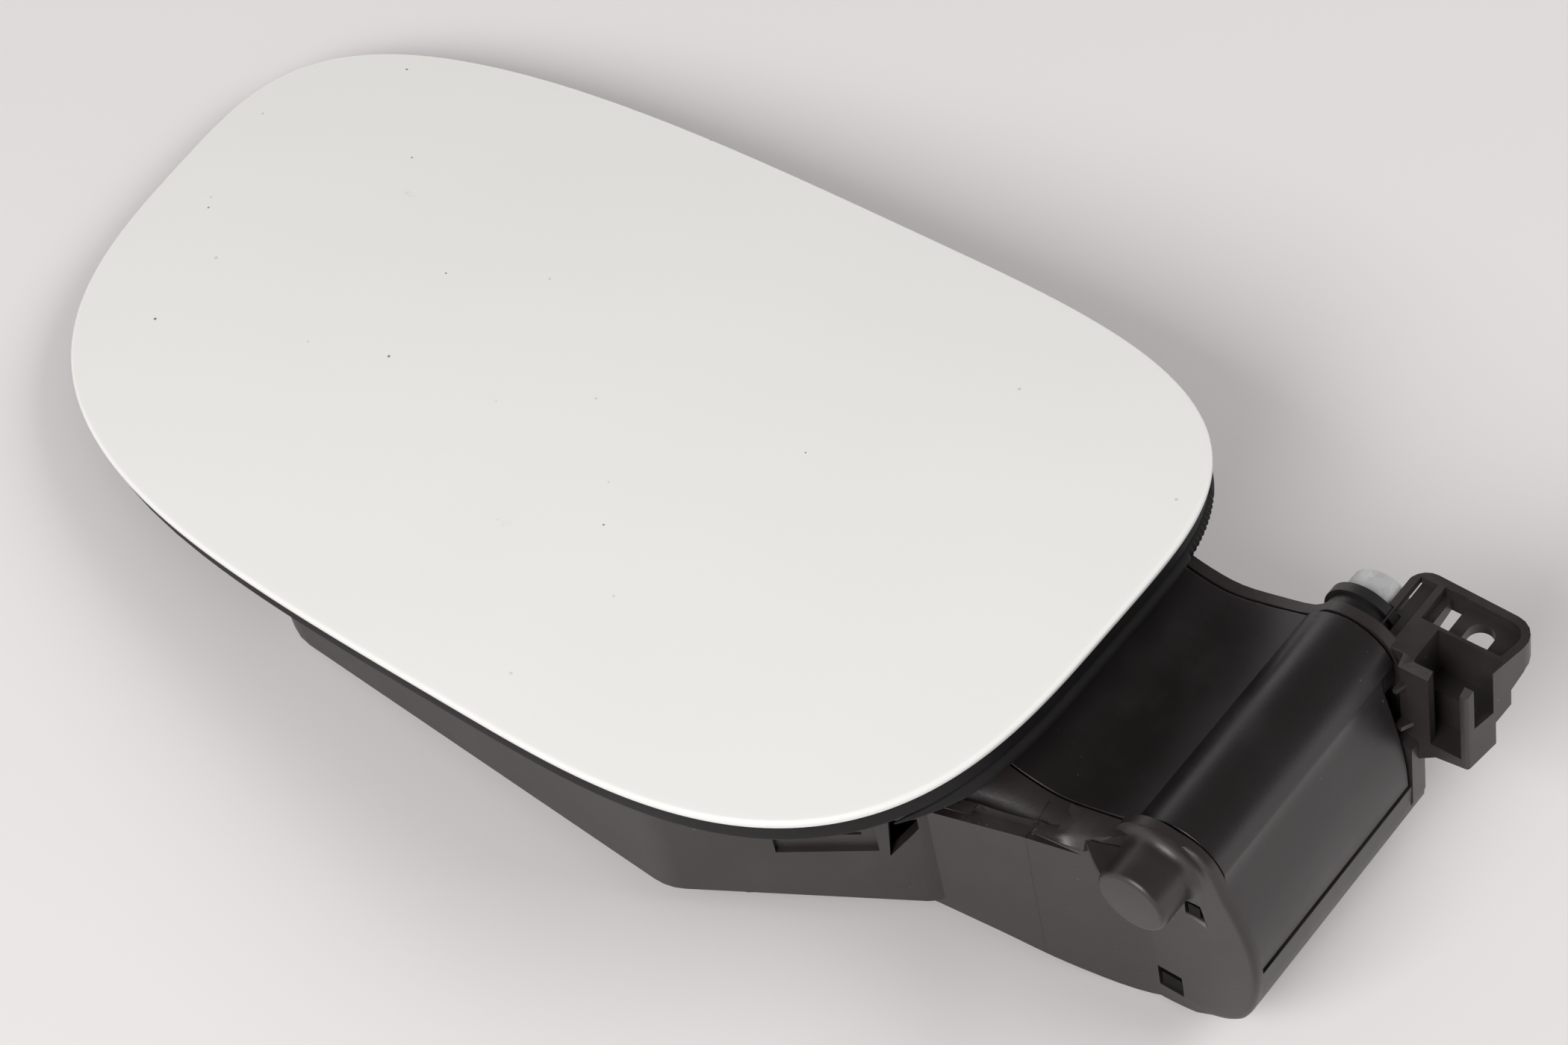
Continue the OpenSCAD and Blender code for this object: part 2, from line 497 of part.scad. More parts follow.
// Housing: bowl, hinge box, boss and bracket in one moulding
module housing() color("#1d1d1d") lie() difference() {
    union() {
        difference() {
            union() {
                bowl_space(0, 0, -bowl_top);
                near_cheek();
                far_cheek();
                box_shell();
            }
            bowl_space(wall_t, wall_t, 5);
            // Way from the bowl into the hinge box for the arm
            translate([box_x - 8, -box_near, -44 + 4]) cube([14, box_near + box_far, 60]);
            across([[-45, -21], [-45, 30], [-14, 30], [-14, -30], [-22, -30], [-30, -26]],
                -box_near, box_far);
            // Hollow under the near lip, behind the slanted cheek
            intersection() {
                across([[-46, -20], [-46, 3], [-31, -2.5], [-20, -4.5], [-6, -3], [-6, -34], [-20, -31]],
                    -40, -box_near + 1);
                translate([pin_x, 0, -80]) linear_extrude(80) polygon([[-46, -cheek_face(-46) + wall_t],
                    [-4, -box_near], [-46, -box_near]]);
            }
        }
        boss();
        gusset();
        bracket();
        foot_pad();
        neck_collar();
        for (s = [-1, 1]) translate([rim_buffer_x, rim_buffer_y(s), -floor_depth(rim_buffer_x) + 1])
            cylinder(d = post_d, h = floor_depth(rim_buffer_x) - bowl_top - 1);
    }
    on_pin(pin_d + 0.04, pin_y_near - 0.2, box_far + box_wall + 1);
    neck_axis() cylinder(d = neck_d + 2 * neck_seal_t, h = 60, center = true);
    translate([drain_x, drain_y, -60]) cylinder(d = drain_d, h = 60);
    for (s = [-1, 1]) translate([rim_buffer_x, rim_buffer_y(s), -bowl_top - buffer_stem_l])
        cylinder(d = buffer_stem_d, h = 10);
    intersection() {
        cheek_skin(2.4);
        union() {
            across(groove_upper, -50, 0);
            across(groove_lower, -50, 0);
        }
    }
    clip_pocket();
    corner_recess();
    retainer_recess();
    // Room for the collar's flange and the pin's end beside the bracket
    on_pin(collar_flange_d + 2 * collar_play, box_far + box_wall,
        box_far + box_wall + collar_l + collar_play);
    on_pin(pin_head_d + 2 * head_play, box_far + box_wall, box_far + 20);
    for (w = windows) translate([pin_x + w[0], -22, w[1] - pin_z]) cube([w[2], 8, w[3]]);
}

// Windows in the near cheek through which the retainer's hooks show: x, z, width and height
windows = [[3.4, -10.6, 3, 4.2], [-3.8, -36.6, 4.6, 5.4]];

// Collar of the housing that holds the neck seal, square to the resting surface
module neck_axis() translate([neck_x, neck_y, neck_z]) rotate([0, lie_tilt, 0]) children();
module neck_collar() intersection() {
    neck_axis() translate([0, 0, -wall_t - 1])
        cylinder(d = neck_d + 2 * (neck_seal_t + wall_t), h = neck_collar_h + wall_t + 1);
    translate([0, bowl_far, 0]) rotate([90, 0, 0]) linear_extrude(bowl_far + bowl_near) polygon([
        for (e = [[-45, 1], [45, 1], [45, 30], [-45, 30]])
            [neck_x + e[0], e[1] - floor_depth(neck_x + e[0])]]);
}

// Snap-in carrier that lies in a recess of the near cheek, with a hook in each of the cheek's windows
retainer_t = 0.8;
retainer_play = 0.15;
hook_gap = 0.4;
hook_share = 0.6;
retainer_line = [[8, -12.6], [8, -4.4], [2, -12.5], [-4.6, -29], [-4.6, -33.6], [1.6, -35.4],
    [4.6, -32.6]];
module retainer_recess()
    across(retainer_outline(retainer_play), -box_near - retainer_t - 2 * retainer_play, 0);
function retainer_outline(d) = inset(retainer_line, -d);
module spring_retainer() color("darkolivegreen") lie() {
    across(retainer_outline(0), -box_near - retainer_t - retainer_play, -box_near - retainer_play);
    for (w = windows)
        translate([pin_x + w[0] + hook_gap, -box_near - cheek_t + 0.3, w[1] - pin_z + hook_gap])
        cube([w[2] - 2 * hook_gap, cheek_t - retainer_play - 0.5, w[3] * hook_share]);
}

// Leg spring on the pin between the arm's knuckles
spring_r = (pin_d + wire_d) / 2 + 0.3;
spring_y0 = arm_near + knuckle_l + 1;
spring_len = 14;
spring_leg = 19;
coil_steps = 16;
function wire_section(c, ax, u, r) = [for (a = [0:60:300]) c + r * (cos(a) * ax + sin(a) * u)];
module return_spring() color("silver") lie() translate([pin_x, 0, -pin_z]) loft(concat(
    [wire_section([-spring_leg, spring_y0, -1.9 - spring_r], [0, 1, 0], [0, 0, 1], wire_d / 2)],
    [for (i = [0:spring_turns * coil_steps]) let (a = -90 + 360 * i / coil_steps,
        y = spring_y0 + spring_len * i / (spring_turns * coil_steps))
        wire_section([spring_r * cos(a), y, spring_r * sin(a)], [0, 1, 0], [-cos(a), 0, -sin(a)],
            wire_d / 2)],
    [wire_section([3.2, spring_y0 + spring_len, -spring_r - 0.5], [0, 1, 0], [0, 0, 1], wire_d / 2)]));

// Steel pin with its thicker free end beyond the collar
module hinge_pin() color("silver") lie() translate([pin_x, 0, -pin_z]) rotate([-90, 0, 0]) rotate_extrude()
    polygon([[0, pin_y_near], [pin_d / 2 - 0.6, pin_y_near], [pin_d / 2, pin_y_near + 0.8],
        [pin_d / 2, box_far + box_wall], [pin_seat_d / 2, box_far + box_wall],
        [pin_seat_d / 2, box_far + box_wall + collar_l], [pin_head_d / 2, box_far + box_wall + collar_l],
        [pin_head_d / 2, pin_head_y - 0.8],
        [pin_head_d / 2 - 0.8, pin_head_y], [0, pin_head_y]]);

// Flanged collar on the far cheek, round the pin's thick end
collar_l = 5;
collar_play = 0.3;
head_play = 0.9;
pin_seat_d = pin_head_d - 0.4;
module pin_collar() color("black") lie() translate([pin_x, box_far + box_wall, -pin_z]) rotate([-90, 0, 0])
    difference() {
        union() {
            cylinder(d = collar_d, h = collar_l);
            translate([0, 0, collar_l - 1.8]) cylinder(d = collar_flange_d, h = 1.8);
        }
        translate([0, 0, -1]) cylinder(d = pin_seat_d, h = collar_l + 2);
    }

// Rubber seal between the housing and the filler neck
module neck_seal() color("black") lie() neck_axis() difference() {
    union() {
        translate([0, 0, -wall_t]) cylinder(d = neck_d + 2 * neck_seal_t, h = neck_collar_h + wall_t);
        translate([0, 0, neck_collar_h]) cylinder(d = neck_d + 2 * neck_seal_t + 5, h = 2);
    }
    translate([0, 0, -wall_t - 3]) cylinder(d = neck_d, h = 30);
}

// Rubber grommet in the bowl's drain hole
drain_x = 66;
drain_y = 30;
drain_d = 9;
module drain_grommet() color("black") lie() translate([drain_x, drain_y, -floor_depth(drain_x)])
    difference() {
        union() {
            cylinder(d = drain_d, h = wall_t + 1.4);
            translate([0, 0, wall_t + 1]) cylinder(d = drain_d + 4, h = 1.4);
        }
        translate([0, 0, -1]) cylinder(d = drain_d - 4, h = 10);
    }

// Soft gasket along the bowl's top edge, open at the hinge box
gasket_h = 2;
module rim_gasket() color("black") lie() translate([0, 0, -bowl_top])
    linear_extrude(gasket_h) difference() {
        polygon(inset(bowl_plan, 0.1));
        polygon(inset(bowl_plan, wall_t - 0.1));
        translate([box_x - 14, -60]) square([60, 120]);
    }

// Rubber buffers on posts in the bowl's two left corners
post_d = 8;
buffer_stem_l = 4;
rim_buffer_x = bowl_left + post_d;
function rim_buffer_y(s) = s > 0 ? bowl_far - post_d : post_d - bowl_near;
rim_buffer_h = 3.6;
module rim_buffer(s) color("black") lie() translate([rim_buffer_x, rim_buffer_y(s), -bowl_top]) {
    cylinder(d = post_d - 0.6, h = rim_buffer_h - 0.8);
    cylinder(d = post_d - 3, h = rim_buffer_h);
    translate([0, 0, 0.2 - buffer_stem_l]) cylinder(d = buffer_stem_d, h = buffer_stem_l);
}
module rim_buffer_near() rim_buffer(-1);
module rim_buffer_far() rim_buffer(1);

// Turns the part to its resting attitude, with the middle of the neck's bore at the origin
module lie() rotate([0, -lie_tilt, 0]) translate([-neck_x, -neck_y, -neck_z]) children();

flap_skin();
inner_panel();
edge_seal();
hinge_arm();
arm_screws();
lock_eye();
cap_hook();
panel_buffer_near();
panel_buffer_far();
panel_buffer_lock();
housing();
spring_retainer();
return_spring();
hinge_pin();
pin_collar();
neck_seal();
drain_grommet();
rim_gasket();
rim_buffer_near();
rim_buffer_far();
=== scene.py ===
# %% [markdown]
# # Car fuel filler flap with its hinge and housing
# A painted steel flap closes a black moulded bowl. A wide gooseneck arm carries the flap and turns on a
# steel pin in a box beside the bowl. The part lies on a pale table with its flap closed.
# The solids could be drawn again here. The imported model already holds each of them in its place, so the
# first step loads it, measures its box and takes the pin's place from it.
# %% Frame
import json
import math

import bmesh
import bpy
from mathutils import Matrix, Vector


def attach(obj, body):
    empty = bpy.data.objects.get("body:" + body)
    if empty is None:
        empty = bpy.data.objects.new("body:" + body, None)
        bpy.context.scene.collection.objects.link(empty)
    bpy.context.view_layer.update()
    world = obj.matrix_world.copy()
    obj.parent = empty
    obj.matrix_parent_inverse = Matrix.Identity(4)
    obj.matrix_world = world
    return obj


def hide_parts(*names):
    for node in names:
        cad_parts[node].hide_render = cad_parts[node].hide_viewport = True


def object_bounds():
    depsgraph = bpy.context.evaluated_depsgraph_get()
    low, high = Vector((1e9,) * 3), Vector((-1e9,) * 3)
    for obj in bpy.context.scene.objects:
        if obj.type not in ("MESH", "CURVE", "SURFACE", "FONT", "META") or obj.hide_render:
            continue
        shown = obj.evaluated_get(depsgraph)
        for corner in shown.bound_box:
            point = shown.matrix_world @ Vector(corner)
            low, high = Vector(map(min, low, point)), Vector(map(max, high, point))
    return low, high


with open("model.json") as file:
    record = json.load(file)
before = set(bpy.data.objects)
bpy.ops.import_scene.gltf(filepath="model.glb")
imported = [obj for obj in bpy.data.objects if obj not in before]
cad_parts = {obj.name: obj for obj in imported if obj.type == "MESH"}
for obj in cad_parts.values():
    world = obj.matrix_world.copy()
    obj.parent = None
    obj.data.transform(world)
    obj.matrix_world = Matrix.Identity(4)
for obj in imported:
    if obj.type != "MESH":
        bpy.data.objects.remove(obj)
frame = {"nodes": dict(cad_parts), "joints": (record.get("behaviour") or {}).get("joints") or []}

cad_low, cad_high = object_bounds()
NODES = frame["nodes"]
PIN = Vector(frame["joints"][0]["pos_m"])
TABLE_Z = cad_low.z
MM = 0.001
print("box of the packed model in mm:", [round(v / MM, 1) for v in (cad_high - cad_low)])

# %% [markdown]
# ## Camera
# The photograph was taken from above the hinge end with a long lens. The camera could be turned by eye
# until the edges agree. Here its place, its target and a slight roll were worked out from the straight
# edges of the housing, so that every piece falls where the photograph has it.
# %% Camera
EYE = Vector((204.7, -254.8, 535.4)) * MM
TARGET = Vector((11.8, -2.35, 32.0)) * MM
ROLL = math.radians(0.93)
LENS_MM = 85.71
SENSOR_MM = 36
CLIP_M = (0.01, 60)

camera_data = bpy.data.cameras.new("studio_camera")
camera_data.lens = LENS_MM
camera_data.sensor_width = SENSOR_MM
camera_data.clip_start, camera_data.clip_end = CLIP_M
camera = bpy.data.objects.new("studio_camera", camera_data)
bpy.context.scene.collection.objects.link(camera)
aim = (TARGET - EYE).to_track_quat("-Z", "Y").to_matrix().to_4x4()
camera.matrix_world = Matrix.Translation(EYE) @ aim @ Matrix.Rotation(ROLL, 4, "Z")
bpy.context.scene.camera = camera
print("camera distance in mm:", round((TARGET - EYE).length / MM))

# %% [markdown]
# ## Flap axes
# The flap is easiest to shape level, with its crown at height zero and lengths in millimetres. Each piece
# could be turned after it is made. One matrix is simpler: it lays every point down at the slope at which
# the flap rests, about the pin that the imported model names.
# %% Flap axes
LIE_TILT = math.radians(12)
PIN_ON_FLAP = Vector((127.7, -2.0, -15.0))
lay_down = (Matrix.Translation(PIN) @ Matrix.Rotation(-LIE_TILT, 4, "Y") @ Matrix.Scale(MM, 4)
            @ Matrix.Translation(-PIN_ON_FLAP))


def on_flap(x, y, z):
    """Place in the scene of a point given in the flap's own axes in mm."""
    return lay_down @ Vector((x, y, z))


print("crown of the flap at", [round(v / MM, 1) for v in on_flap(0, 0, 0)])

# %% [markdown]
# ## Outline of the flap
# The outline is a rounded oblong whose four quarters differ a little. It could be drawn as a curve with
# many handles. A superellipse for each quarter gives the same line from a reach and a squareness, and any
# number of points can be asked of it. The lock end leans, so its far corner reaches out further.
# %% Outline
MIDDLE = Vector((23.0, 5.7))
REACH = {"lock": 124.65, "hinge": 79.5, "far": 53.7, "near": 65.3}
SQUARE = {("hinge", "near"): 3.0, ("hinge", "far"): 3.65, ("lock", "near"): 3.5, ("lock", "far"): 3.2}
LOCK_LEAN = 0.116
CROWN_H = 2.5
HALF_WIDTH = 60.0
TURN_STEP = 0.004


def outline_at(turn):
    """Point of the outline at an angle about the flap's middle."""
    c, s = math.cos(turn), math.sin(turn)
    along, side = "hinge" if c >= 0 else "lock", "far" if s >= 0 else "near"
    power = SQUARE[along, side]
    reach = ((abs(c) / REACH[along]) ** power + (abs(s) / REACH[side]) ** power) ** (-1 / power)
    x, y = reach * c, reach * s
    lean = LOCK_LEAN * (x / REACH["lock"]) ** 2 * y if along == "lock" else 0.0
    return MIDDLE + Vector((x - lean, y))


def outline_inset(turn, inset, shrink=1.0):
    """Point inside the outline by the inset, then drawn towards the middle."""
    way = (outline_at(turn + TURN_STEP) - outline_at(turn - TURN_STEP)).normalized()
    point = outline_at(turn) + inset * Vector((-way.y, way.x))
    return MIDDLE + shrink * (point - MIDDLE)


def crown(y):
    """Height of the crowned skin, which falls off towards both long sides."""
    return -CROWN_H * (y / HALF_WIDTH) ** 2


length = outline_at(0).x - outline_at(math.pi).x
print("flap is", round(length), "mm long and", round(REACH["far"] + REACH["near"]), "mm wide")

# %% [markdown]
# ## Helpers for shader nodes
# Every finish on this part is built from a few kinds of node. They could be placed in the editor with the
# mouse. Short helpers place them here and wire a socket or set a plain value, so that each finish below
# reads as a recipe.
# %% Node helpers
FLOAT, VECTOR = "NodeSocketFloat", "NodeSocketVector"


def add_node(tree, kind, inputs=(), **settings):
    """Adds a node, sets its options, and links or sets its inputs."""
    made = tree.nodes.new(kind)
    for label, value in settings.items():
        setattr(made, label, value)
    for label, value in dict(inputs).items():
        if isinstance(value, bpy.types.NodeSocket):
            tree.links.new(value, made.inputs[label])
        else:
            made.inputs[label].default_value = value
    return made


def math_node(tree, operation, a, b=0.0):
    return add_node(tree, "ShaderNodeMath", {0: a, 1: b}, operation=operation).outputs[0]


def vector_math(tree, operation, a, b, output=0):
    return add_node(tree, "ShaderNodeVectorMath", {0: a, 1: b}, operation=operation).outputs[output]


def band(tree, value, low, high):
    """0 at low, 1 at high and smooth between. Low may be the larger of the two."""
    made = add_node(tree, "ShaderNodeMapRange", {"Value": value, "From Min": low, "From Max": high},
                    interpolation_type="SMOOTHSTEP")
    return made.outputs["Result"]


def noise(tree, vector, scale, detail=3.0, roughness=0.5):
    inputs = {"Vector": vector, "Scale": scale, "Detail": detail, "Roughness": roughness}
    return add_node(tree, "ShaderNodeTexNoise", inputs).outputs["Fac"]


print("recipes use", ", ".join(helper.__name__ for helper in (math_node, vector_math, band, noise)))

# %% [markdown]
# ## Grain
# The etched face of a mould leaves a fine grain on plastic, and handling leaves patches of another gloss.
# Each material could hold its own noise for this. A node group holds it once, with the scale as a named
# input, and gives a height for the bumps and a mask for the patches.
# %% Grain group
GRAIN_SCALE = 1800.0
PIT_SHARE = 0.4


def new_group(name, inputs, outputs):
    """Makes a node group and gives its tree, its inputs and the node that takes its results."""
    tree = bpy.data.node_groups.new(name, "ShaderNodeTree")
    for label, kind, value in inputs:
        socket = tree.interface.new_socket(name=label, in_out="INPUT", socket_type=kind)
        if value is not None:
            socket.default_value = value
    for label in outputs:
        tree.interface.new_socket(name=label, in_out="OUTPUT", socket_type=FLOAT)
    return tree, tree.nodes.new("NodeGroupInput").outputs, tree.nodes.new("NodeGroupOutput").inputs


grain_group, grain_in, grain_out = new_group(
    "moulded_grain", [("Vector", VECTOR, None), ("Scale", FLOAT, GRAIN_SCALE)], ["Height", "Patches"])
fine = noise(grain_group, grain_in["Vector"], grain_in["Scale"], detail=2.0)
pits = add_node(grain_group, "ShaderNodeTexVoronoi",
                {"Vector": grain_in["Vector"], "Scale": grain_in["Scale"]}).outputs["Distance"]
height = math_node(grain_group, "ADD", fine, math_node(grain_group, "MULTIPLY", pits, PIT_SHARE))
patches = noise(grain_group, grain_in["Vector"], scale=55.0, detail=5.0, roughness=0.6)
grain_group.links.new(height, grain_out["Height"])
grain_group.links.new(patches, grain_out["Patches"])
print(grain_group.name, "has", len(grain_group.nodes), "nodes")

# %% [markdown]
# ## Settled dust
# A part that has been in use carries small pale specks all over. They could be scattered as tiny meshes,
# which would only add faces. Here space is split in cells, each cell draws a number, and the few with the
# highest number get a round speck. The amount and the scale are inputs of the group.
# %% Dust group
SPECK_REACH = 0.42

dust_group, dust_in, dust_out = new_group(
    "settled_dust", [("Vector", VECTOR, None), ("Amount", FLOAT, 0.2), ("Scale", FLOAT, 700.0)], ["Mask"])
cells = add_node(dust_group, "ShaderNodeTexVoronoi", {"Vector": dust_in["Vector"], "Scale": dust_in["Scale"]})
drawn = add_node(dust_group, "ShaderNodeSeparateColor", {"Color": cells.outputs["Color"]}).outputs[0]
chosen = band(dust_group, drawn, math_node(dust_group, "SUBTRACT", 1.0, dust_in["Amount"]), 1.0)
speck_edge = math_node(dust_group, "MULTIPLY", chosen, SPECK_REACH)
speck_round = band(dust_group, cells.outputs["Distance"], speck_edge, 0.0)
dust_group.links.new(math_node(dust_group, "MULTIPLY", speck_round, chosen), dust_out["Mask"])
print(dust_group.name, "has", len(dust_group.nodes), "nodes")

# %% [markdown]
# ## Zones
# Some marks sit in one place, such as the pale crumbs in the trough. They could be painted on an image,
# which would need a flat map of the piece. A mask that is 1 inside an oval and fades at its rim puts a
# mark there instead. It is measured on Object coordinates, so it stays on the piece.
# %% Zone group
zone_group, zone_in, zone_out = new_group(
    "oval_zone", [("Vector", VECTOR, None), ("Centre", VECTOR, (0, 0, 0)),
                  ("Size", VECTOR, (0.01, 0.01, 0.01)), ("Fade", FLOAT, 0.5)], ["Mask"])
offset = vector_math(zone_group, "SUBTRACT", zone_in["Vector"], zone_in["Centre"])
scaled = vector_math(zone_group, "DIVIDE", offset, zone_in["Size"])
from_centre = add_node(zone_group, "ShaderNodeVectorMath", {0: scaled}, operation="LENGTH").outputs["Value"]
full_inside = math_node(zone_group, "SUBTRACT", 1.0, zone_in["Fade"])
zone_group.links.new(band(zone_group, from_centre, 1.0, full_inside), zone_out["Mask"])
print(zone_group.name, "has", len(zone_group.nodes), "nodes")

# %% [markdown]
# ## Start of a material
# Every finish is one Principled shader whose colour, roughness and bumps vary over the surface. The values
# that are the same all over are set straight on the shader's sockets, and not through other nodes, so that
# they also reach the exported model.
# %% Material helpers
MIX_MASK, MIX_UNDER, MIX_OVER, MIX_RESULT = 0, 6, 7, 2


def use_group(tree, group, **inputs):
    """Places a shared group in a material and gives its outputs."""
    return add_node(tree, "ShaderNodeGroup", inputs, node_tree=group).outputs


def new_material(name, colour, roughness, **shader):
    """Gives the material, its tree, its shader and the Object coordinates."""
    material = bpy.data.materials.new(name)
    material.use_nodes = True
    tree = material.node_tree
    principled = tree.nodes["Principled BSDF"]
    principled.inputs["Base Color"].default_value = (*colour, 1)
    principled.inputs["Roughness"].default_value = roughness
    for label, value in shader.items():
        principled.inputs[label.replace("_", " ").title().replace("Ior", "IOR")].default_value = value
    place = tree.nodes.new("ShaderNodeTexCoord").outputs["Object"]
    return material, tree, principled, place


def mix_colour(tree, mask, under, over):
    """Lays one colour over another by a mask. Each may be a socket or a plain tone."""
    under, over = (c if isinstance(c, bpy.types.NodeSocket) else (*c, 1) for c in (under, over))
    inputs = {MIX_MASK: mask, MIX_UNDER: under, MIX_OVER: over}
    return add_node(tree, "ShaderNodeMix", inputs, data_type="RGBA").outputs[MIX_RESULT]


def vary_roughness(tree, principled, value, roughness, less, more, **span):
    """Lets the roughness follow a value, between less and more than the base roughness."""
    limits = {"To Min": roughness - less, "To Max": roughness + more}
    limits.update({label.replace("_", " ").title(): number for label, number in span.items()})
    rough = add_node(tree, "ShaderNodeMapRange", {"Value": value, **limits})
    tree.links.new(rough.outputs["Result"], principled.inputs["Roughness"])


def bump(tree, principled, height, strength, distance):
    made = add_node(tree, "ShaderNodeBump", {"Height": height, "Strength": strength, "Distance": distance})
    tree.links.new(made.outputs["Normal"], principled.inputs["Normal"])


print("groups to share:", ", ".join(group.name for group in bpy.data.node_groups))

# %% [markdown]
# ## Black plastic
# Bowl, arm, rim and collar are black mouldings, but each has its own gloss and grain. Each could be wired
# by itself. One function builds the finish from a tone, a roughness, a grain and an amount of dust, so
# that the pieces stay related and a change of the recipe reaches them all.
# %% Black plastic
DUST_TONE = (0.34, 0.33, 0.31)
DUST_COVER = 0.6
SPECK_SCALE = 1700.0
CRUMB_SCALE = 2600.0
CRUMB_FADE = 0.7
GRAIN_DEPTH = 0.05 * MM


def black_plastic(name, tone, roughness, specular, grain, dust, haze, grain_scale=GRAIN_SCALE, dusty=()):
    """A black moulding. Dusty lists zones of crumbs as centre, size in mm and amount."""
    material, tree, principled, place = new_material(name, tone, roughness, specular_ior_level=specular)
    grained = use_group(tree, grain_group, Vector=place, Scale=grain_scale)
    specks = use_group(tree, dust_group, Vector=place, Amount=dust, Scale=SPECK_SCALE)["Mask"]
    for centre, size, amount in dusty:
        zone = use_group(tree, zone_group, Vector=place, Centre=centre, Size=Vector(size) * MM,
                         Fade=CRUMB_FADE)["Mask"]
        crumbs = use_group(tree, dust_group, Vector=place, Amount=amount, Scale=CRUMB_SCALE)["Mask"]
        specks = math_node(tree, "MAXIMUM", specks, math_node(tree, "MULTIPLY", crumbs, zone))
    film = math_node(tree, "MULTIPLY", band(tree, grained["Patches"], low=0.46, high=0.72), haze)
    hazed = mix_colour(tree, film, tone, DUST_TONE)
    dusted = mix_colour(tree, math_node(tree, "MULTIPLY", specks, DUST_COVER), hazed, DUST_TONE)
    tree.links.new(dusted, principled.inputs["Base Color"])
    vary_roughness(tree, principled, grained["Patches"], roughness, less=0.05, more=0.07,
                   from_min=0.3, from_max=0.7)
    bump(tree, principled, grained["Height"], strength=grain, distance=GRAIN_DEPTH)
    return material


print("cells for specks are", round(1 / SPECK_SCALE / MM, 2), "mm wide")

# %% [markdown]
# ## Tones of the black plastics
# The bowl is the palest of them, and the arm is darker and glossier. Panel, seals and spring carrier are
# matt. One tone for all would make them one lump, so each has its own, and they stand side by side here to
# be compared. The spring carrier is toned almost black as painted shade, so that the windows over it read as
# deep holes. Pale crumbs lie in the groove, in the bracket and in the trough.
# %% Tones of the black plastics
# Zones of crumbs: centre, half sizes in mm and amount
GROOVE_DUST = (on_flap(101, -24, -16), (15, 7, 6), 0.10)
BRACKET_DUST = (on_flap(139, 34, -20), (9, 4, 12), 0.06)
TROUGH_DUST = (on_flap(101, -10, -15), (10, 7, 8), 0.03)

housing_black = black_plastic(
    "housing_black", tone=(0.0215, 0.0165, 0.0170), roughness=0.39, specular=0.58, grain=0.3,
    dust=0.004, haze=0.03, dusty=(GROOVE_DUST, BRACKET_DUST))
arm_black = black_plastic(
    "arm_black", tone=(0.0112, 0.0090, 0.0093), roughness=0.36, specular=0.6, grain=0.22,
    dust=0.005, haze=0.015, dusty=(TROUGH_DUST,))
panel_black = black_plastic(
    "panel_black", tone=(0.0085, 0.0075, 0.0078), roughness=0.6, specular=0.22, grain=0.3,
    dust=0.003, haze=0.015)
collar_black = black_plastic(
    "collar_black", tone=(0.013, 0.0118, 0.012), roughness=0.38, specular=0.5, grain=0.25,
    dust=0.004, haze=0.02)
rubber_black = black_plastic(
    "rubber_black", tone=(0.0095, 0.0085, 0.0088), roughness=0.62, specular=0.28, grain=0.3,
    dust=0.004, haze=0.02, grain_scale=1200.0)
# Painted shade: the spring carrier is toned almost black, so that the windows in the cheek read as deep
# holes.
retainer_painted_shade_black = black_plastic(
    "retainer_painted_shade_black", tone=(0.0045, 0.0042, 0.0038), roughness=0.6, specular=0.12, grain=0.25,
    dust=0.004, haze=0.01)
print("black plastics:", ", ".join(m.name for m in bpy.data.materials if m.name.endswith("black")))

# %% [markdown]
# ## Mould line
# Where two halves of the mould met, a hair line runs down the housing's near wall. It could be cut as a
# groove, but it is thinner than any edge of the mesh. A dark line in the colour shows it: the distance
# along the flap is measured on the surface, wavers a little with a noise, and is darkened near zero.
# %% Mould line
LINE_FROM_PIN = -21.3
LINE_SIDE_Y = -17.0
LINE_SIDE_FADE = 0.5
LINE_HALF, LINE_CORE = 0.16 * MM, 0.05 * MM
LINE_WAVE = 0.4 * MM
LINE_COVER = 0.8
LINE_TONE = (0.002, 0.002, 0.002)


def mould_line(material, x, side_y):
    """Darkens a hair line across the flap's length at x, on the near side of side_y."""
    tree = material.node_tree
    base_colour = tree.nodes["Principled BSDF"].inputs["Base Color"]
    place = tree.nodes.new("ShaderNodeTexCoord").outputs["Object"]
    along, across = (Vector(lay_down.to_3x3().col[n]).normalized() for n in (0, 1))
    run = vector_math(tree, "DOT_PRODUCT", place, along, "Value")
    side = vector_math(tree, "DOT_PRODUCT", place, across, "Value")
    wave = math_node(tree, "MULTIPLY", noise(tree, place, scale=90.0, detail=1.0), LINE_WAVE)
    off = math_node(tree, "SUBTRACT", math_node(tree, "ADD", run, wave), along.dot(on_flap(x, 0, 0)))
    line = band(tree, math_node(tree, "ABSOLUTE", off), LINE_HALF, LINE_CORE)
    fade_from, fade_to = (across.dot(on_flap(0, y, 0)) for y in (side_y, side_y - LINE_SIDE_FADE))
    near = band(tree, side, fade_from, fade_to)
    mask = math_node(tree, "MULTIPLY", math_node(tree, "MULTIPLY", line, near), LINE_COVER)
    tree.links.new(mix_colour(tree, mask, base_colour.links[0].from_socket, LINE_TONE), base_colour)


mould_line(housing_black, PIN_ON_FLAP.x + LINE_FROM_PIN, LINE_SIDE_Y)
print("mould line", -LINE_FROM_PIN, "mm before the pin")

# %% [markdown]
# ## Steel
# The pin's end, the screws and the lock's eye are zinc plated: light grey, a little rough, with faint
# crystals. The spring is darker drawn wire. One plain grey would look like plastic, so the tone follows
# small cells and a cloudy noise, and the roughness follows the noise.
# %% Steel
PLATE_DARK, PLATE_LIGHT = 0.82, 1.12
PLATE_DEPTH = 0.04 * MM


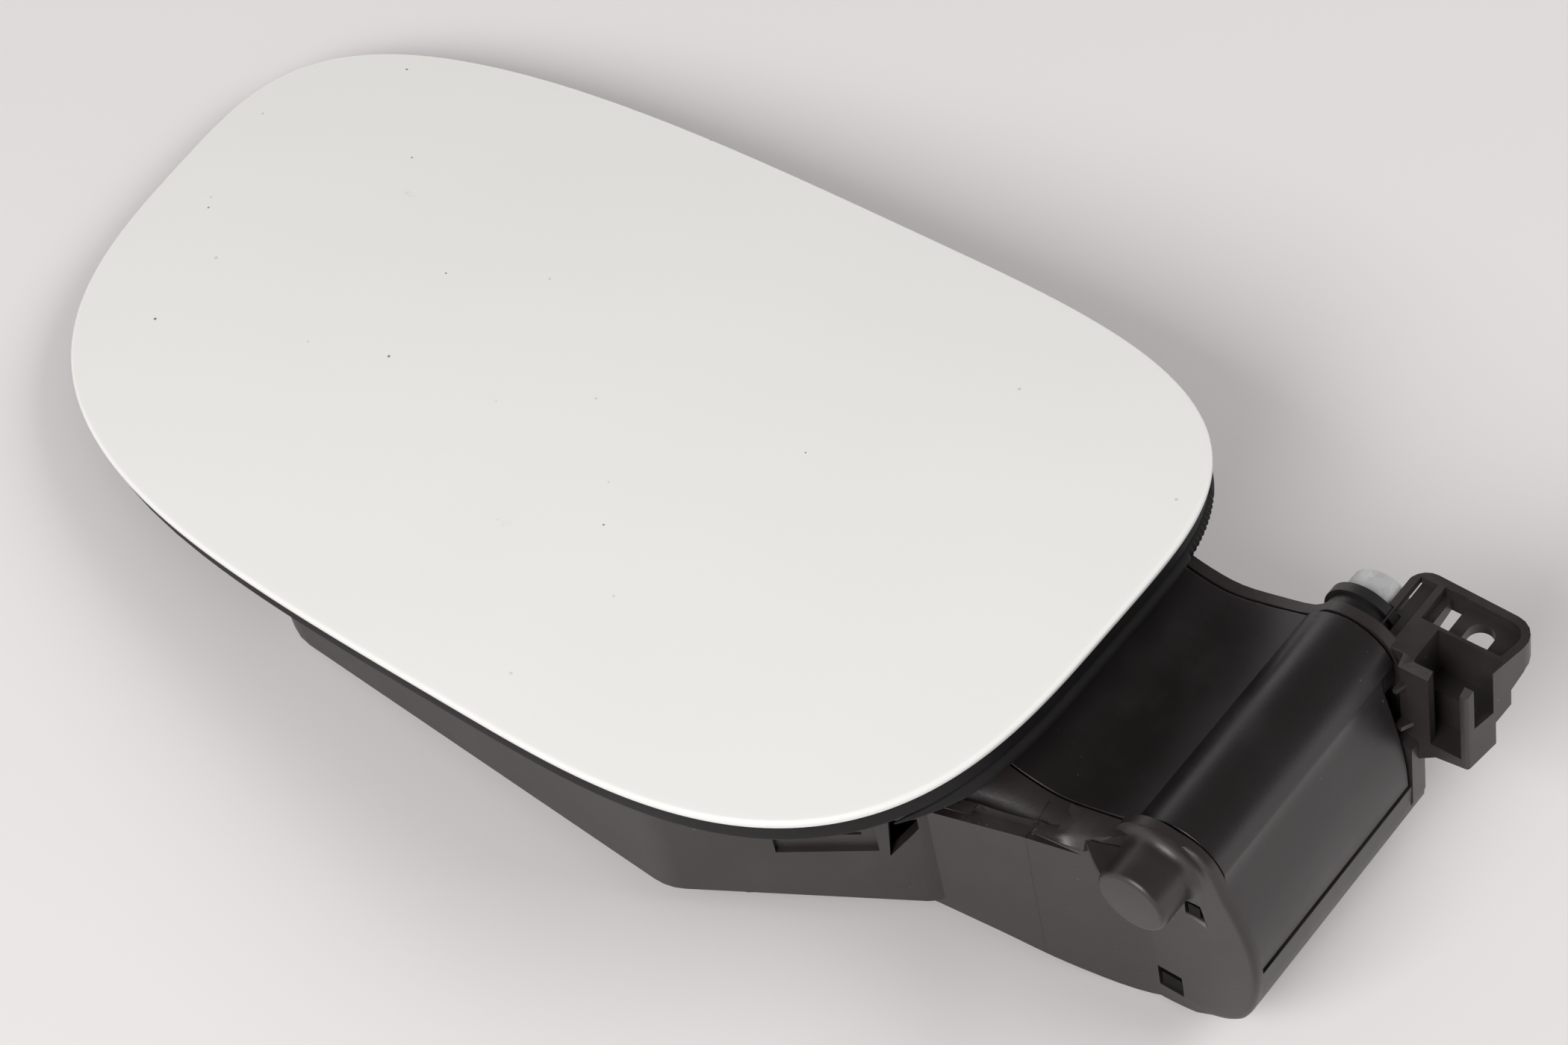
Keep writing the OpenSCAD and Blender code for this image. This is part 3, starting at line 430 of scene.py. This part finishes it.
def plated(name, colour, roughness, metallic):
    material, tree, principled, place = new_material(name, colour, roughness, metallic=metallic)
    crystals = add_node(tree, "ShaderNodeTexVoronoi", {"Vector": place, "Scale": 900.0})
    shade = add_node(tree, "ShaderNodeSeparateColor", {"Color": crystals.outputs["Color"]}).outputs[0]
    cloudy = noise(tree, place, scale=260.0, detail=4.0, roughness=0.6)
    tone = math_node(tree, "MULTIPLY", math_node(tree, "ADD", shade, cloudy), 0.5)
    tones = [[min(1, c * share) for c in colour] for share in (PLATE_DARK, PLATE_LIGHT)]
    tree.links.new(mix_colour(tree, tone, *tones), principled.inputs["Base Color"])
    vary_roughness(tree, principled, cloudy, roughness, less=0.08, more=0.12)
    bump(tree, principled, cloudy, strength=0.25, distance=PLATE_DEPTH)
    return material


zinc_plate = plated("zinc_plate", (0.60, 0.61, 0.605), roughness=0.5, metallic=0.45)
spring_wire = plated("spring_wire", (0.30, 0.29, 0.27), roughness=0.35, metallic=1.0)
print("steel finishes:", zinc_plate.name, "and", spring_wire.name)

# %% [markdown]
# ## Marks on the paint
# Years of use left tiny dark specks and a few scuffs on the flap. Scattered noise alone would look like
# dirt, so each larger speck and each scuff has a named place on the flap in millimetres. A scuff is an
# oval that shows only where a distorted noise draws fine hairs.
# %% Paint marks
PAINT = (0.875, 0.862, 0.838)
# Specks as x, y and radius, scuffs as x, y and both half sizes, in mm on the flap
PAINT_SPECKS = [(-77.9, -26.2, 0.36), (-88.3, -1.9, 0.26), (-81.6, 43.6, 0.3), (-64.5, 26.6, 0.24),
                (-35.1, -11.3, 0.34), (-39.5, 8.3, 0.24), (21.0, -20.0, 0.24), (40.0, 9.0, 0.2),
                (-21.4, 58.7, 0.5)]
SCUFFS = [(-59, 19.5, 2.6, 0.9), (-12.7, -9.2, 1.4, 1.6), (6, -28, 2.0, 1.4)]
MARK_H = 4

white_paint, paint, paint_shader, paint_place = new_material(
    "white_paint", PAINT, roughness=0.42, coat_weight=1.0, coat_roughness=0.04)


def paint_spot(x, y, size, fade):
    """Mask of an oval on the paint at x and y, with its half sizes in mm."""
    return use_group(paint, zone_group, Vector=paint_place, Centre=on_flap(x, y, crown(y)),
                     Size=Vector(size) * MM, Fade=fade)["Mask"]


def strongest(tree, masks):
    """The highest of several masks at each point."""
    found = masks[0]
    for mask in masks[1:]:
        found = math_node(tree, "MAXIMUM", found, mask)
    return found


hair = add_node(paint, "ShaderNodeTexNoise",
                {"Vector": paint_place, "Scale": 1500.0, "Detail": 3.0, "Distortion": 1.5}).outputs["Fac"]
hairlines = band(paint, hair, low=0.55, high=0.66)
specks = strongest(paint, [paint_spot(x, y, (r, r, MARK_H * r), fade=0.5) for x, y, r in PAINT_SPECKS])
scuff_spots = [paint_spot(x, y, (wide, deep, MARK_H), fade=0.8) for x, y, wide, deep in SCUFFS]
scratches = strongest(paint, [math_node(paint, "MULTIPLY", spot, hairlines) for spot in scuff_spots])
print("white paint with", len(PAINT_SPECKS), "placed specks and", len(SCUFFS), "scuffs")

# %% [markdown]
# ## White paint
# The flap is sprayed cream white under clear lacquer. A single glossy shader would blur the two. A clear
# coat gives sharp reflections over a softer base, and the lacquer's slight waviness is a very low bump.
# Faint dust and a hardly visible cloud in the tone keep the wide face from looking drawn.
# %% White paint
SPECK_TONE = (0.22, 0.20, 0.17)
SCUFF_TONE = (0.60, 0.59, 0.55)
SCUFF_COVER = 0.75
FAINT_COVER = 0.5
CLOUD_SHARE = 0.985
WAVE_DEPTH = 0.05 * MM

faint = use_group(paint, dust_group, Vector=paint_place, Amount=0.003, Scale=900.0)["Mask"]
marks = math_node(paint, "MAXIMUM", specks, math_node(paint, "MULTIPLY", faint, FAINT_COVER))
cloud = band(paint, noise(paint, paint_place, scale=14.0, detail=2.0), low=0.35, high=0.7)
clean = mix_colour(paint, cloud, PAINT, [c * CLOUD_SHARE for c in PAINT])
scuffed = mix_colour(paint, math_node(paint, "MULTIPLY", scratches, SCUFF_COVER), clean, SCUFF_TONE)
paint.links.new(mix_colour(paint, marks, scuffed, SPECK_TONE), paint_shader.inputs["Base Color"])
waves = noise(paint, paint_place, scale=160.0, detail=2.0)
bump(paint, paint_shader, waves, strength=0.05, distance=WAVE_DEPTH)
print("paint has", len(paint.nodes), "nodes")

# %% [markdown]
# ## From a bmesh to a piece
# A piece starts as a bmesh and is shaped by operators. It then becomes an object that rides on the flap's
# or the housing's body, with a slot for its material. A piece that stands for a solid of the imported model
# hides that solid and takes its place. Edges under a limit angle are shaded smooth, and the others stay
# crisp.
# %% Piece helper
SMOOTH_ANGLE = math.radians(34)


def make_piece(bm, name, body, slot, material, *stands_for):
    """Turns a bmesh into an object on its body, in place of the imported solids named."""
    for face in bm.faces:
        face.smooth = True
    for edge in bm.edges:
        edge.smooth = len(edge.link_faces) == 2 and edge.calc_face_angle(math.pi) < SMOOTH_ANGLE
    mesh = bpy.data.meshes.new(name)
    bm.to_mesh(mesh)
    bm.free()
    mesh.materials.append(material)
    piece = bpy.data.objects.new(name, mesh)
    bpy.context.scene.collection.objects.link(piece)
    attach(piece, body)
    if stands_for:
        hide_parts(*stands_for)
    print(name, "has", len(mesh.polygons), "faces")
    return piece


print("solids to dress:", len(NODES))

# %% [markdown]
# ## Rings along the outline
# Skin, rim and seal all follow the flap's outline. Their faces could be listed by hand. Extruding one loop
# of edges from ring to ring gives the same faces with an operator. A number on each vertex remembers its
# place round the outline, so every new ring can be laid out by a formula.
# %% Ring helpers
STEPS = 384


def extruded(bm, edges):
    """Extrudes a loop of edges and gives the new loop's vertices and edges."""
    made = bmesh.ops.extrude_edge_only(bm, edges=edges)["geom"]
    verts = [g for g in made if isinstance(g, bmesh.types.BMVert)]
    inside = set(verts)
    return verts, [g for g in made if isinstance(g, bmesh.types.BMEdge) and inside.issuperset(g.verts)]


def sweep_rings(bm, rings):
    """Leads a closed loop through rings of inset, drop and shrink. Gives its first and last edges."""
    mark = bm.verts.layers.int.new("step")
    loop = bmesh.ops.create_circle(bm, cap_ends=False, segments=STEPS, radius=1.0)["verts"]
    for number, vert in enumerate(loop):
        vert[mark] = number
    first = edges = list(bm.edges)
    for count, (inset, drop, shrink) in enumerate(rings):
        if count:
            loop, edges = extruded(bm, edges)
        for vert in loop:
            point = outline_inset(2 * math.pi * vert[mark] / STEPS, inset, shrink)
            vert.co = on_flap(point.x, point.y, crown(point.y) - drop)
    return first, edges


def close_ends(bm, *loops):
    """Fills each open end with one face and turns all faces outwards."""
    for loop in loops:
        bmesh.ops.contextual_create(bm, geom=loop)
    bmesh.ops.recalc_face_normals(bm, faces=bm.faces)


print("rings of", STEPS, "steps")

# %% [markdown]
# ## Painted skin
# The skin is a pressed sheet whose edge is rolled over and folded in. It could be a solid with a bevelled
# edge, but then the roll's radius would change round the corners. Here the rings run across the section:
# up the inside, over the fold, round the roll and in over the crown, and both middles are closed.
# %% Painted skin
SKIN_T = 1.1
SKIN_EDGE = 1.5
ROLL_R = 0.75
ROLL_STEPS = 10
FOLD_W = 2
# The fold's corners as inset from the outline and rise above the skin's lower edge
FOLD = ((SKIN_T + 0.2, 0), (0.3, 0), (0.08, 0.12), (0, 0.35))
CROWN_INSET = 1.2
INSIDE_SHRINKS = (0.04, 0.3, 0.65, 1.0)
CROWN_SHRINKS = (1.0, 0.96, 0.9, 0.8, 0.7, 0.6, 0.5, 0.4, 0.3, 0.2, 0.12, 0.04)

skin_rings = [(SKIN_T + FOLD_W, SKIN_T, shrink) for shrink in INSIDE_SHRINKS]
skin_rings += [(inset, SKIN_EDGE - rise, 1) for inset, rise in FOLD]
for k in range(ROLL_STEPS + 1):
    bend = math.pi / 2 * k / ROLL_STEPS
    skin_rings.append((ROLL_R * (1 - math.cos(bend)), ROLL_R * (1 - math.sin(bend)), 1))
skin_rings += [(ROLL_R + CROWN_INSET, 0, shrink) for shrink in CROWN_SHRINKS]

skin_mesh = bmesh.new()
close_ends(skin_mesh, *sweep_rings(skin_mesh, skin_rings))
make_piece(skin_mesh, "flap_painted_skin", "flap", "white_paint", white_paint, "flap_skin")

# %% [markdown]
# ## Inner panel
# The panel under the skin is one black moulding with a rim, ribs and screw pads. It could be modelled anew,
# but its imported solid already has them. So a copy is taken, its loose triangles are merged, and it only
# gets a finish.
# %% Inner panel
MERGE_MM = 0.004
SLIVER_MM = 0.001


def merged_copy(node):
    """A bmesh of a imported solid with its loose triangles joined."""
    bm = bmesh.new()
    bm.from_mesh(NODES[node].data)
    bmesh.ops.remove_doubles(bm, verts=bm.verts, dist=MERGE_MM * MM)
    bmesh.ops.dissolve_degenerate(bm, dist=SLIVER_MM * MM, edges=bm.edges)
    return bm


make_piece(merged_copy("inner_panel"), "inner_panel_moulding", "flap", "panel_plastic", panel_black,
           "inner_panel")

# %% [markdown]
# ## Rim band
# Only the panel's rim shows with the flap closed, as a dark line under the paint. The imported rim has
# straight stretches that would show on so long a curve. A finer band with a rounded lower lip is laid
# over it, swept by the same rings as the skin and joined to itself where the section closes.
# %% Rim band
RIM_INSET = 0.9
RIM_Z = 6.1
# The band's section as inset from the rim's own and drop below the crown
RIM_SECTION = [(0.5, SKIN_EDGE + 0.05), (-0.05, SKIN_EDGE + 0.05), (-0.08, RIM_Z - 0.8), (0.05, RIM_Z - 0.35),
               (0.35, RIM_Z - 0.08), (0.9, RIM_Z + 0.02), (0.9, RIM_Z - 0.5)]

band_mesh = bmesh.new()
start_loop, end_loop = sweep_rings(band_mesh, [(RIM_INSET + inset, drop, 1) for inset, drop in RIM_SECTION])
bmesh.ops.bridge_loops(band_mesh, edges=start_loop + end_loop)
bmesh.ops.recalc_face_normals(band_mesh, faces=band_mesh.faces)
make_piece(band_mesh, "panel_rim_band", "flap", "panel_plastic", panel_black)

# %% [markdown]
# ## Rubber seal
# A rubber bead runs under the rim round the hinge end, with a short notched stretch. A tube along a curve
# would do, but its ends should thin out and the notches need a place of their own. So a circle is
# extruded along the outline, and every copy of it is laid out by a formula.
# %% Rubber seal
SEAL_R = 1.55
SEAL_GAP = 0.2
# Where the bead and its notches start and end, as shares of a full turn from the hinge end
SEAL_FROM, SEAL_TO = -0.088, 15 / 96
NOTCH_FROM, NOTCH_TO = 0.046, 0.071
NOTCH_PITCH = 0.0022
NOTCH_SHARE = 0.4
NOTCH_DEPTH = 0.35
SEAL_STEPS = 220
SEAL_SIDES = 14
SEAL_END, SEAL_SWELL = 0.12, 9

seal_mesh = bmesh.new()
side_mark = seal_mesh.verts.layers.int.new("side")
ring = bmesh.ops.create_circle(seal_mesh, cap_ends=False, segments=SEAL_SIDES, radius=1.0)["verts"]
for number, vert in enumerate(ring):
    vert[side_mark] = number
first_end = last_end = list(seal_mesh.edges)
for step in range(SEAL_STEPS + 1):
    share = step / SEAL_STEPS
    turn = SEAL_FROM + (SEAL_TO - SEAL_FROM) * share
    radius = SEAL_R * min(1.0, SEAL_END + SEAL_SWELL * min(share, 1 - share))
    notched = NOTCH_FROM < turn < NOTCH_TO and (turn / NOTCH_PITCH) % 1 < NOTCH_SHARE
    if step:
        ring, last_end = extruded(seal_mesh, last_end)
    for vert in ring:
        angle = 2 * math.pi * vert[side_mark] / SEAL_SIDES
        inset = SEAL_R + SEAL_GAP + radius * math.cos(angle)
        inset += NOTCH_DEPTH * max(0, -math.cos(angle)) if notched else 0
        point = outline_inset(2 * math.pi * turn, inset)
        vert.co = on_flap(point.x, point.y, crown(point.y) - RIM_Z - SEAL_R - radius * math.sin(angle))
close_ends(seal_mesh, first_end, last_end)
make_piece(seal_mesh, "edge_seal_bead", "flap", "rubber", rubber_black, "edge_seal")

# %% [markdown]
# ## Lines of the near cheek
# The housing's near cheek has a curved top edge, the crest, and a shallow groove below it. The packed
# solid follows both. To shape them further, the script has to know where they run, so the crest's points
# are repeated here, from the pin and in the flap's axes, and joined by a smooth line.
# %% Cheek lines
CHEEK_DEPTH = 17.9
CHEEK_BEND_X = -4.0
CHEEK_SPREAD = math.tan(math.radians(19))
# Crest and groove as x and z from the pin, in mm
LIP_CREST = [(-39.5, 6.6), (-31.9, 1.8), (-26, -0.1), (-20, -0.5), (-12.8, 1.4), (-6.1, 3.8), (-2.6, 7.2),
             (1.5, 8.2)]
CREST_STEPS = 3
GROOVE_TOP = [(-40, 1.8), (-37, 1.6), (-21.5, 0.0), (-13.1, -4.1)]
GROOVE_FLOOR = [(-40, -0.2), (-37, -0.6), (-22, -2.4), (-13.1, -4.1)]
to_flap = lay_down.inverted()


def smooth_line(points, steps):
    """A smooth line through the points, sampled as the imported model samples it."""
    line = []
    for k in range(len(points) - 1):
        a, b, c, d = (Vector(points[max(0, min(len(points) - 1, k + n))]) for n in (-1, 0, 1, 2))
        for j in range(steps):
            t = j / steps
            line.append(0.5 * (2 * b + (c - a) * t + (2 * a - 5 * b + 4 * c - d) * t ** 2
                               + (3 * b - a - 3 * c + d) * t ** 3))
    return line + [Vector(points[-1])]


def height_on(line, x):
    """Height of a line at x, or that of its first point where x lies outside it."""
    for (x0, z0), (x1, z1) in zip(line, line[1:]):
        if x0 <= x <= x1:
            return z0 + (z1 - z0) * (x - x0) / (x1 - x0)
    return line[0][1]


def from_pin(vert):
    """Place of a vertex in the flap's axes: x and z from the pin, y from the flap's middle line."""
    point = to_flap @ vert.co
    return Vector((point.x - PIN_ON_FLAP.x, point.y, point.z - PIN_ON_FLAP.z))


def to_world(point):
    return lay_down @ (point + Vector((PIN_ON_FLAP.x, 0, PIN_ON_FLAP.z)))


def depth_in_cheek(point):
    """How far a point lies behind the near cheek's outer face, measured across the box."""
    return point.y + CHEEK_DEPTH + max(0.0, CHEEK_BEND_X - point.x) * CHEEK_SPREAD


crest_line = smooth_line(LIP_CREST, CREST_STEPS)
print("crest line has", len(crest_line), "points")

# %% [markdown]
# ## Rounded lip
# On the real moulding the crest is a soft lip that catches a long highlight. A bevel would need an even
# strip of faces, which this edge doesn't have. So the top is sliced lengthwise by planes along the cheek,
# and its points are lowered on an ellipse towards the outer face. They stop before the groove, and the
# fall fades out before the boss.
# %% Rounded lip
LIP_FROM, LIP_TO = -39.6, -7.5
LIP_INNER_Y = -16.0
LIP_CUTS = (0.3, 0.8, 1.5, 2.9, 3.5, 4.3, 5.2, 6.2, 7.4, 8.8, 10.3)
LIP_FALL = 0.9
LIP_TAPER = 5.0
GROOVE_DEPTH = 2.45
GROOVE_ROOM = 0.85
CREST_ROOM, SIDE_ROOM = 0.06, 0.1
CUT_ROOM_M = 1e-7


def on_crest(point):
    """Whether a point lies on the top face that follows the crest."""
    return (LIP_FROM < point.x < LIP_TO and point.y < LIP_INNER_Y + SIDE_ROOM
            and depth_in_cheek(point) > -SIDE_ROOM
            and abs(point.z - height_on(crest_line, point.x)) < CREST_ROOM)


def slice_lip(bm):
    """Cuts the top face lengthwise, so that it has points to lower."""
    across = (lay_down.to_3x3() @ Vector((-CHEEK_SPREAD, 1, 0))).normalized()
    for cut in LIP_CUTS:
        faces = [f for f in bm.faces if all(on_crest(from_pin(v)) for v in f.verts)]
        geom = list({g for f in faces for g in (*f.verts, *f.edges)}) + faces
        bmesh.ops.bisect_plane(bm, geom=geom, dist=CUT_ROOM_M, plane_no=across,
                               plane_co=to_world(Vector((CHEEK_BEND_X, cut - CHEEK_DEPTH, 0))))


def lip_fall(point):
    """How far a point of the top face goes down, from nothing at its inner side."""
    depth = depth_in_cheek(point)
    width = depth_in_cheek(Vector((point.x, LIP_INNER_Y, 0)))
    if depth >= width:
        return None
    fall = LIP_FALL * (width - math.sqrt(max(0.0, width ** 2 - (width - depth) ** 2)))
    fall *= min(1.0, (LIP_TO - point.x) / LIP_TAPER)
    if point.x < GROOVE_TOP[-1][0]:
        stop = GROOVE_TOP if depth < GROOVE_DEPTH else GROOVE_FLOOR
        fall = min(fall, GROOVE_ROOM * max(0.0, point.z - height_on(stop, point.x)))
    return fall


def round_lip(bm):
    slice_lip(bm)
    moved = 0
    for vert in bm.verts:
        point = from_pin(vert)
        fall = lip_fall(point) if on_crest(point) else None
        if fall is not None:
            point.z -= fall
            vert.co = to_world(point)
            moved += 1
    print("lip rounded on", moved, "points")


print("lip is cut into", len(LIP_CUTS) + 1, "strips")

# %% [markdown]
# ## Rounded corner of the cheek
# Round the hinge the cheek's outer face meets its rim in a small round. The edges that need it lie on
# that face, outside the boss, and turn sharply. They are picked by these three tests and bevelled with
# an operator, because a modifier on the whole housing tears where its thin walls meet.
# %% Rounded corner
CORNER_R = 1.1
CORNER_FROM_X = 4
CORNER_FROM_PIN = 9.2
CORNER_ANGLE = 1.2
CORNER_SEGMENTS = 3
FACE_ROOM = 0.03


def round_cheek_corner(bm):
    chosen = []
    for edge in bm.edges:
        ends = [from_pin(v) for v in edge.verts]
        middle = (ends[0] + ends[1]) / 2
        on_face = all(abs(depth_in_cheek(p)) < FACE_ROOM for p in ends)
        past_boss = middle.x > CORNER_FROM_X and math.hypot(middle.x, middle.z) > CORNER_FROM_PIN
        if on_face and past_boss and edge.calc_face_angle(0) > CORNER_ANGLE:
            chosen.append(edge)
    bmesh.ops.bevel(bm, geom=chosen, offset=CORNER_R * MM, segments=CORNER_SEGMENTS, profile=0.5,
                    affect="EDGES", material=-1, clamp_overlap=False)
    print("cheek corner rounded on", len(chosen), "edges")


print("corner radius in mm:", CORNER_R)

# %% [markdown]
# ## Housing
# Bowl, hinge box, boss, gusset and bracket are one moulding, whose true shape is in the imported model. A
# merged copy of it has its flat triangles joined first, so that the slices and the bevel meet whole faces.
# %% Housing
FLAT_ANGLE = math.radians(0.5)

housing_mesh = merged_copy("housing")
bmesh.ops.dissolve_limit(housing_mesh, angle_limit=FLAT_ANGLE, verts=housing_mesh.verts,
                         edges=housing_mesh.edges)
round_lip(housing_mesh)
round_cheek_corner(housing_mesh)
make_piece(housing_mesh, "housing_moulding", "root", "housing_plastic", housing_black, "housing")

# %% [markdown]
# ## Gooseneck arm
# The arm's trough, barrel and apron are one moulding with crisp but never sharp edges. Each edge could be
# picked and bevelled. A Bevel modifier that works by angle finds them all, and leaves the round barrel
# as it is. The small radius is what catches the light on black plastic.
# %% Gooseneck arm
EDGE_R = 0.22 * MM
EDGE_SEGMENTS = 2


def break_edges(piece):
    """Breaks the sharp edges of a finished piece by a small round, as a mould does."""
    rounding = piece.modifiers.new("broken_edges", "BEVEL")
    rounding.width = EDGE_R
    rounding.segments = EDGE_SEGMENTS
    rounding.limit_method = "ANGLE"
    rounding.angle_limit = SMOOTH_ANGLE
    rounding.use_clamp_overlap = False
    rounding.harden_normals = True


arm_piece = make_piece(merged_copy("hinge_arm"), "gooseneck_arm", "flap", "arm_plastic", arm_black,
                       "hinge_arm")
break_edges(arm_piece)

# %% [markdown]
# ## Small pieces
# Screws, pin, spring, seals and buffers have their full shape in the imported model. Each could have a cell
# of its own, but all need the same three steps. So one table gives the body, the slot and the finish of
# each, and a loop makes them.
# %% Small pieces
SMALL = {
    "arm_screws": ("flap", "zinc_steel", zinc_plate),
    "lock_eye": ("flap", "zinc_steel", zinc_plate),
    "cap_hook": ("flap", "panel_plastic", panel_black),
    "panel_buffer_near": ("flap", "rubber", rubber_black),
    "panel_buffer_far": ("flap", "rubber", rubber_black),
    "panel_buffer_lock": ("flap", "rubber", rubber_black),
    # The spring carrier takes the tone that paints the shade in the cheek's windows.
    "spring_retainer": ("root", "retainer_plastic", retainer_painted_shade_black),
    "return_spring": ("root", "spring_steel", spring_wire),
    "hinge_pin": ("root", "zinc_steel", zinc_plate),
    "pin_collar": ("root", "collar_plastic", collar_black),
    "neck_seal": ("root", "rubber", rubber_black),
    "drain_grommet": ("root", "rubber", rubber_black),
    "rim_gasket": ("root", "rubber", rubber_black),
    "rim_buffer_near": ("root", "rubber", rubber_black),
    "rim_buffer_far": ("root", "rubber", rubber_black),
}
for node, (body, slot, material) in SMALL.items():
    make_piece(merged_copy(node), node + "_finished", body, slot, material, node)

# %% [markdown]
# ## Table
# The part lies on a pale table with a slight gloss. A white background could come from more light, but
# that would wash out the object. Here the table's own colour makes the background pale, and its gloss
# gives the faint reflections under the part.
# %% Table
TABLE_TONE = (0.785, 0.762, 0.755)
TABLE_ROUGHNESS = 0.32
TABLE_HALF_M = 12.0

table_mesh = bmesh.new()
bmesh.ops.create_grid(table_mesh, x_segments=1, y_segments=1, size=TABLE_HALF_M)
bmesh.ops.translate(table_mesh, verts=table_mesh.verts, vec=(0, 0, TABLE_Z))
table_data = bpy.data.meshes.new("table")
table_mesh.to_mesh(table_data)
table_mesh.free()
table_data.materials.append(new_material("pale_table", TABLE_TONE, TABLE_ROUGHNESS)[0])
table = bpy.data.objects.new("table", table_data)
bpy.context.scene.collection.objects.link(table)
print("table at", round(TABLE_Z / MM, 1), "mm")

# %% [markdown]
# ## World
# Black plastic shows mostly what it mirrors. In the photograph that is a bright wall low down and a dim
# ceiling. One even sky would make the black grey all over. So rays that come from a gloss see a sky that
# darkens upwards, while the soft light on the object comes from an even and weaker one.
# %% World
SKY_TONE = (1.0, 0.985, 0.975)
SKY_DIFFUSE = 0.30
SKY_HORIZON = 1.3
SKY_TOP = 0.10
LOW_SKY, HIGH_SKY = 0.12, 0.55

world = bpy.data.worlds.new("studio")
bpy.context.scene.world = world
world.use_nodes = True
sky = world.node_tree
way = add_node(sky, "ShaderNodeSeparateXYZ", {0: sky.nodes.new("ShaderNodeTexCoord").outputs["Generated"]})
seen_in_gloss = add_node(sky, "ShaderNodeMapRange",
                         {"Value": way.outputs["Z"], "From Min": LOW_SKY, "From Max": HIGH_SKY,
                          "To Min": SKY_HORIZON, "To Max": SKY_TOP}, interpolation_type="SMOOTHSTEP")
glossy_ray = sky.nodes.new("ShaderNodeLightPath").outputs["Is Glossy Ray"]
strength = add_node(sky, "ShaderNodeMix", {0: glossy_ray, 2: SKY_DIFFUSE, 3: seen_in_gloss.outputs["Result"]},
                    data_type="FLOAT").outputs[0]
sky.nodes["Background"].inputs["Color"].default_value = (*SKY_TONE, 1)
sky.links.new(strength, sky.nodes["Background"].inputs["Strength"])
print("sky of strength", SKY_DIFFUSE, "and in gloss", SKY_HORIZON, "down to", SKY_TOP)

# %% [markdown]
# ## Lamps
# The photograph has a soft light from the near side and a weaker one from the far right, which opens the
# shadow. One lamp overhead would flatten the form. Both are wide softboxes aimed at the part, and the
# far one isn't mirrored, so that it draws no bright window in the black plastic.
# %% Lamps
NEAR_BOX = {"place": (0.0, -0.95, 0.85), "size": (0.8, 0.6), "power": 12.4}
FAR_BOX = {"place": (0.75, 0.7, 1.0), "size": (1.0, 0.8), "power": 8.8}


def softbox(name, place, size, power, mirrored):
    """A rectangular lamp in metres and watts, aimed at the scene's origin."""
    data = bpy.data.lights.new(name, "AREA")
    data.shape = "RECTANGLE"
    data.size, data.size_y = size
    data.energy = power
    lamp = bpy.data.objects.new(name, data)
    bpy.context.scene.collection.objects.link(lamp)
    lamp.location = place
    lamp.rotation_euler = (-Vector(place)).to_track_quat("-Z", "Y").to_euler()
    lamp.visible_glossy = mirrored
    print(name, "is", round(Vector(place).length, 2), "m away")


softbox("near_box", **NEAR_BOX, mirrored=True)
softbox("far_right_box", **FAR_BOX, mirrored=False)
bpy.context.scene.view_settings.view_transform = "Standard"
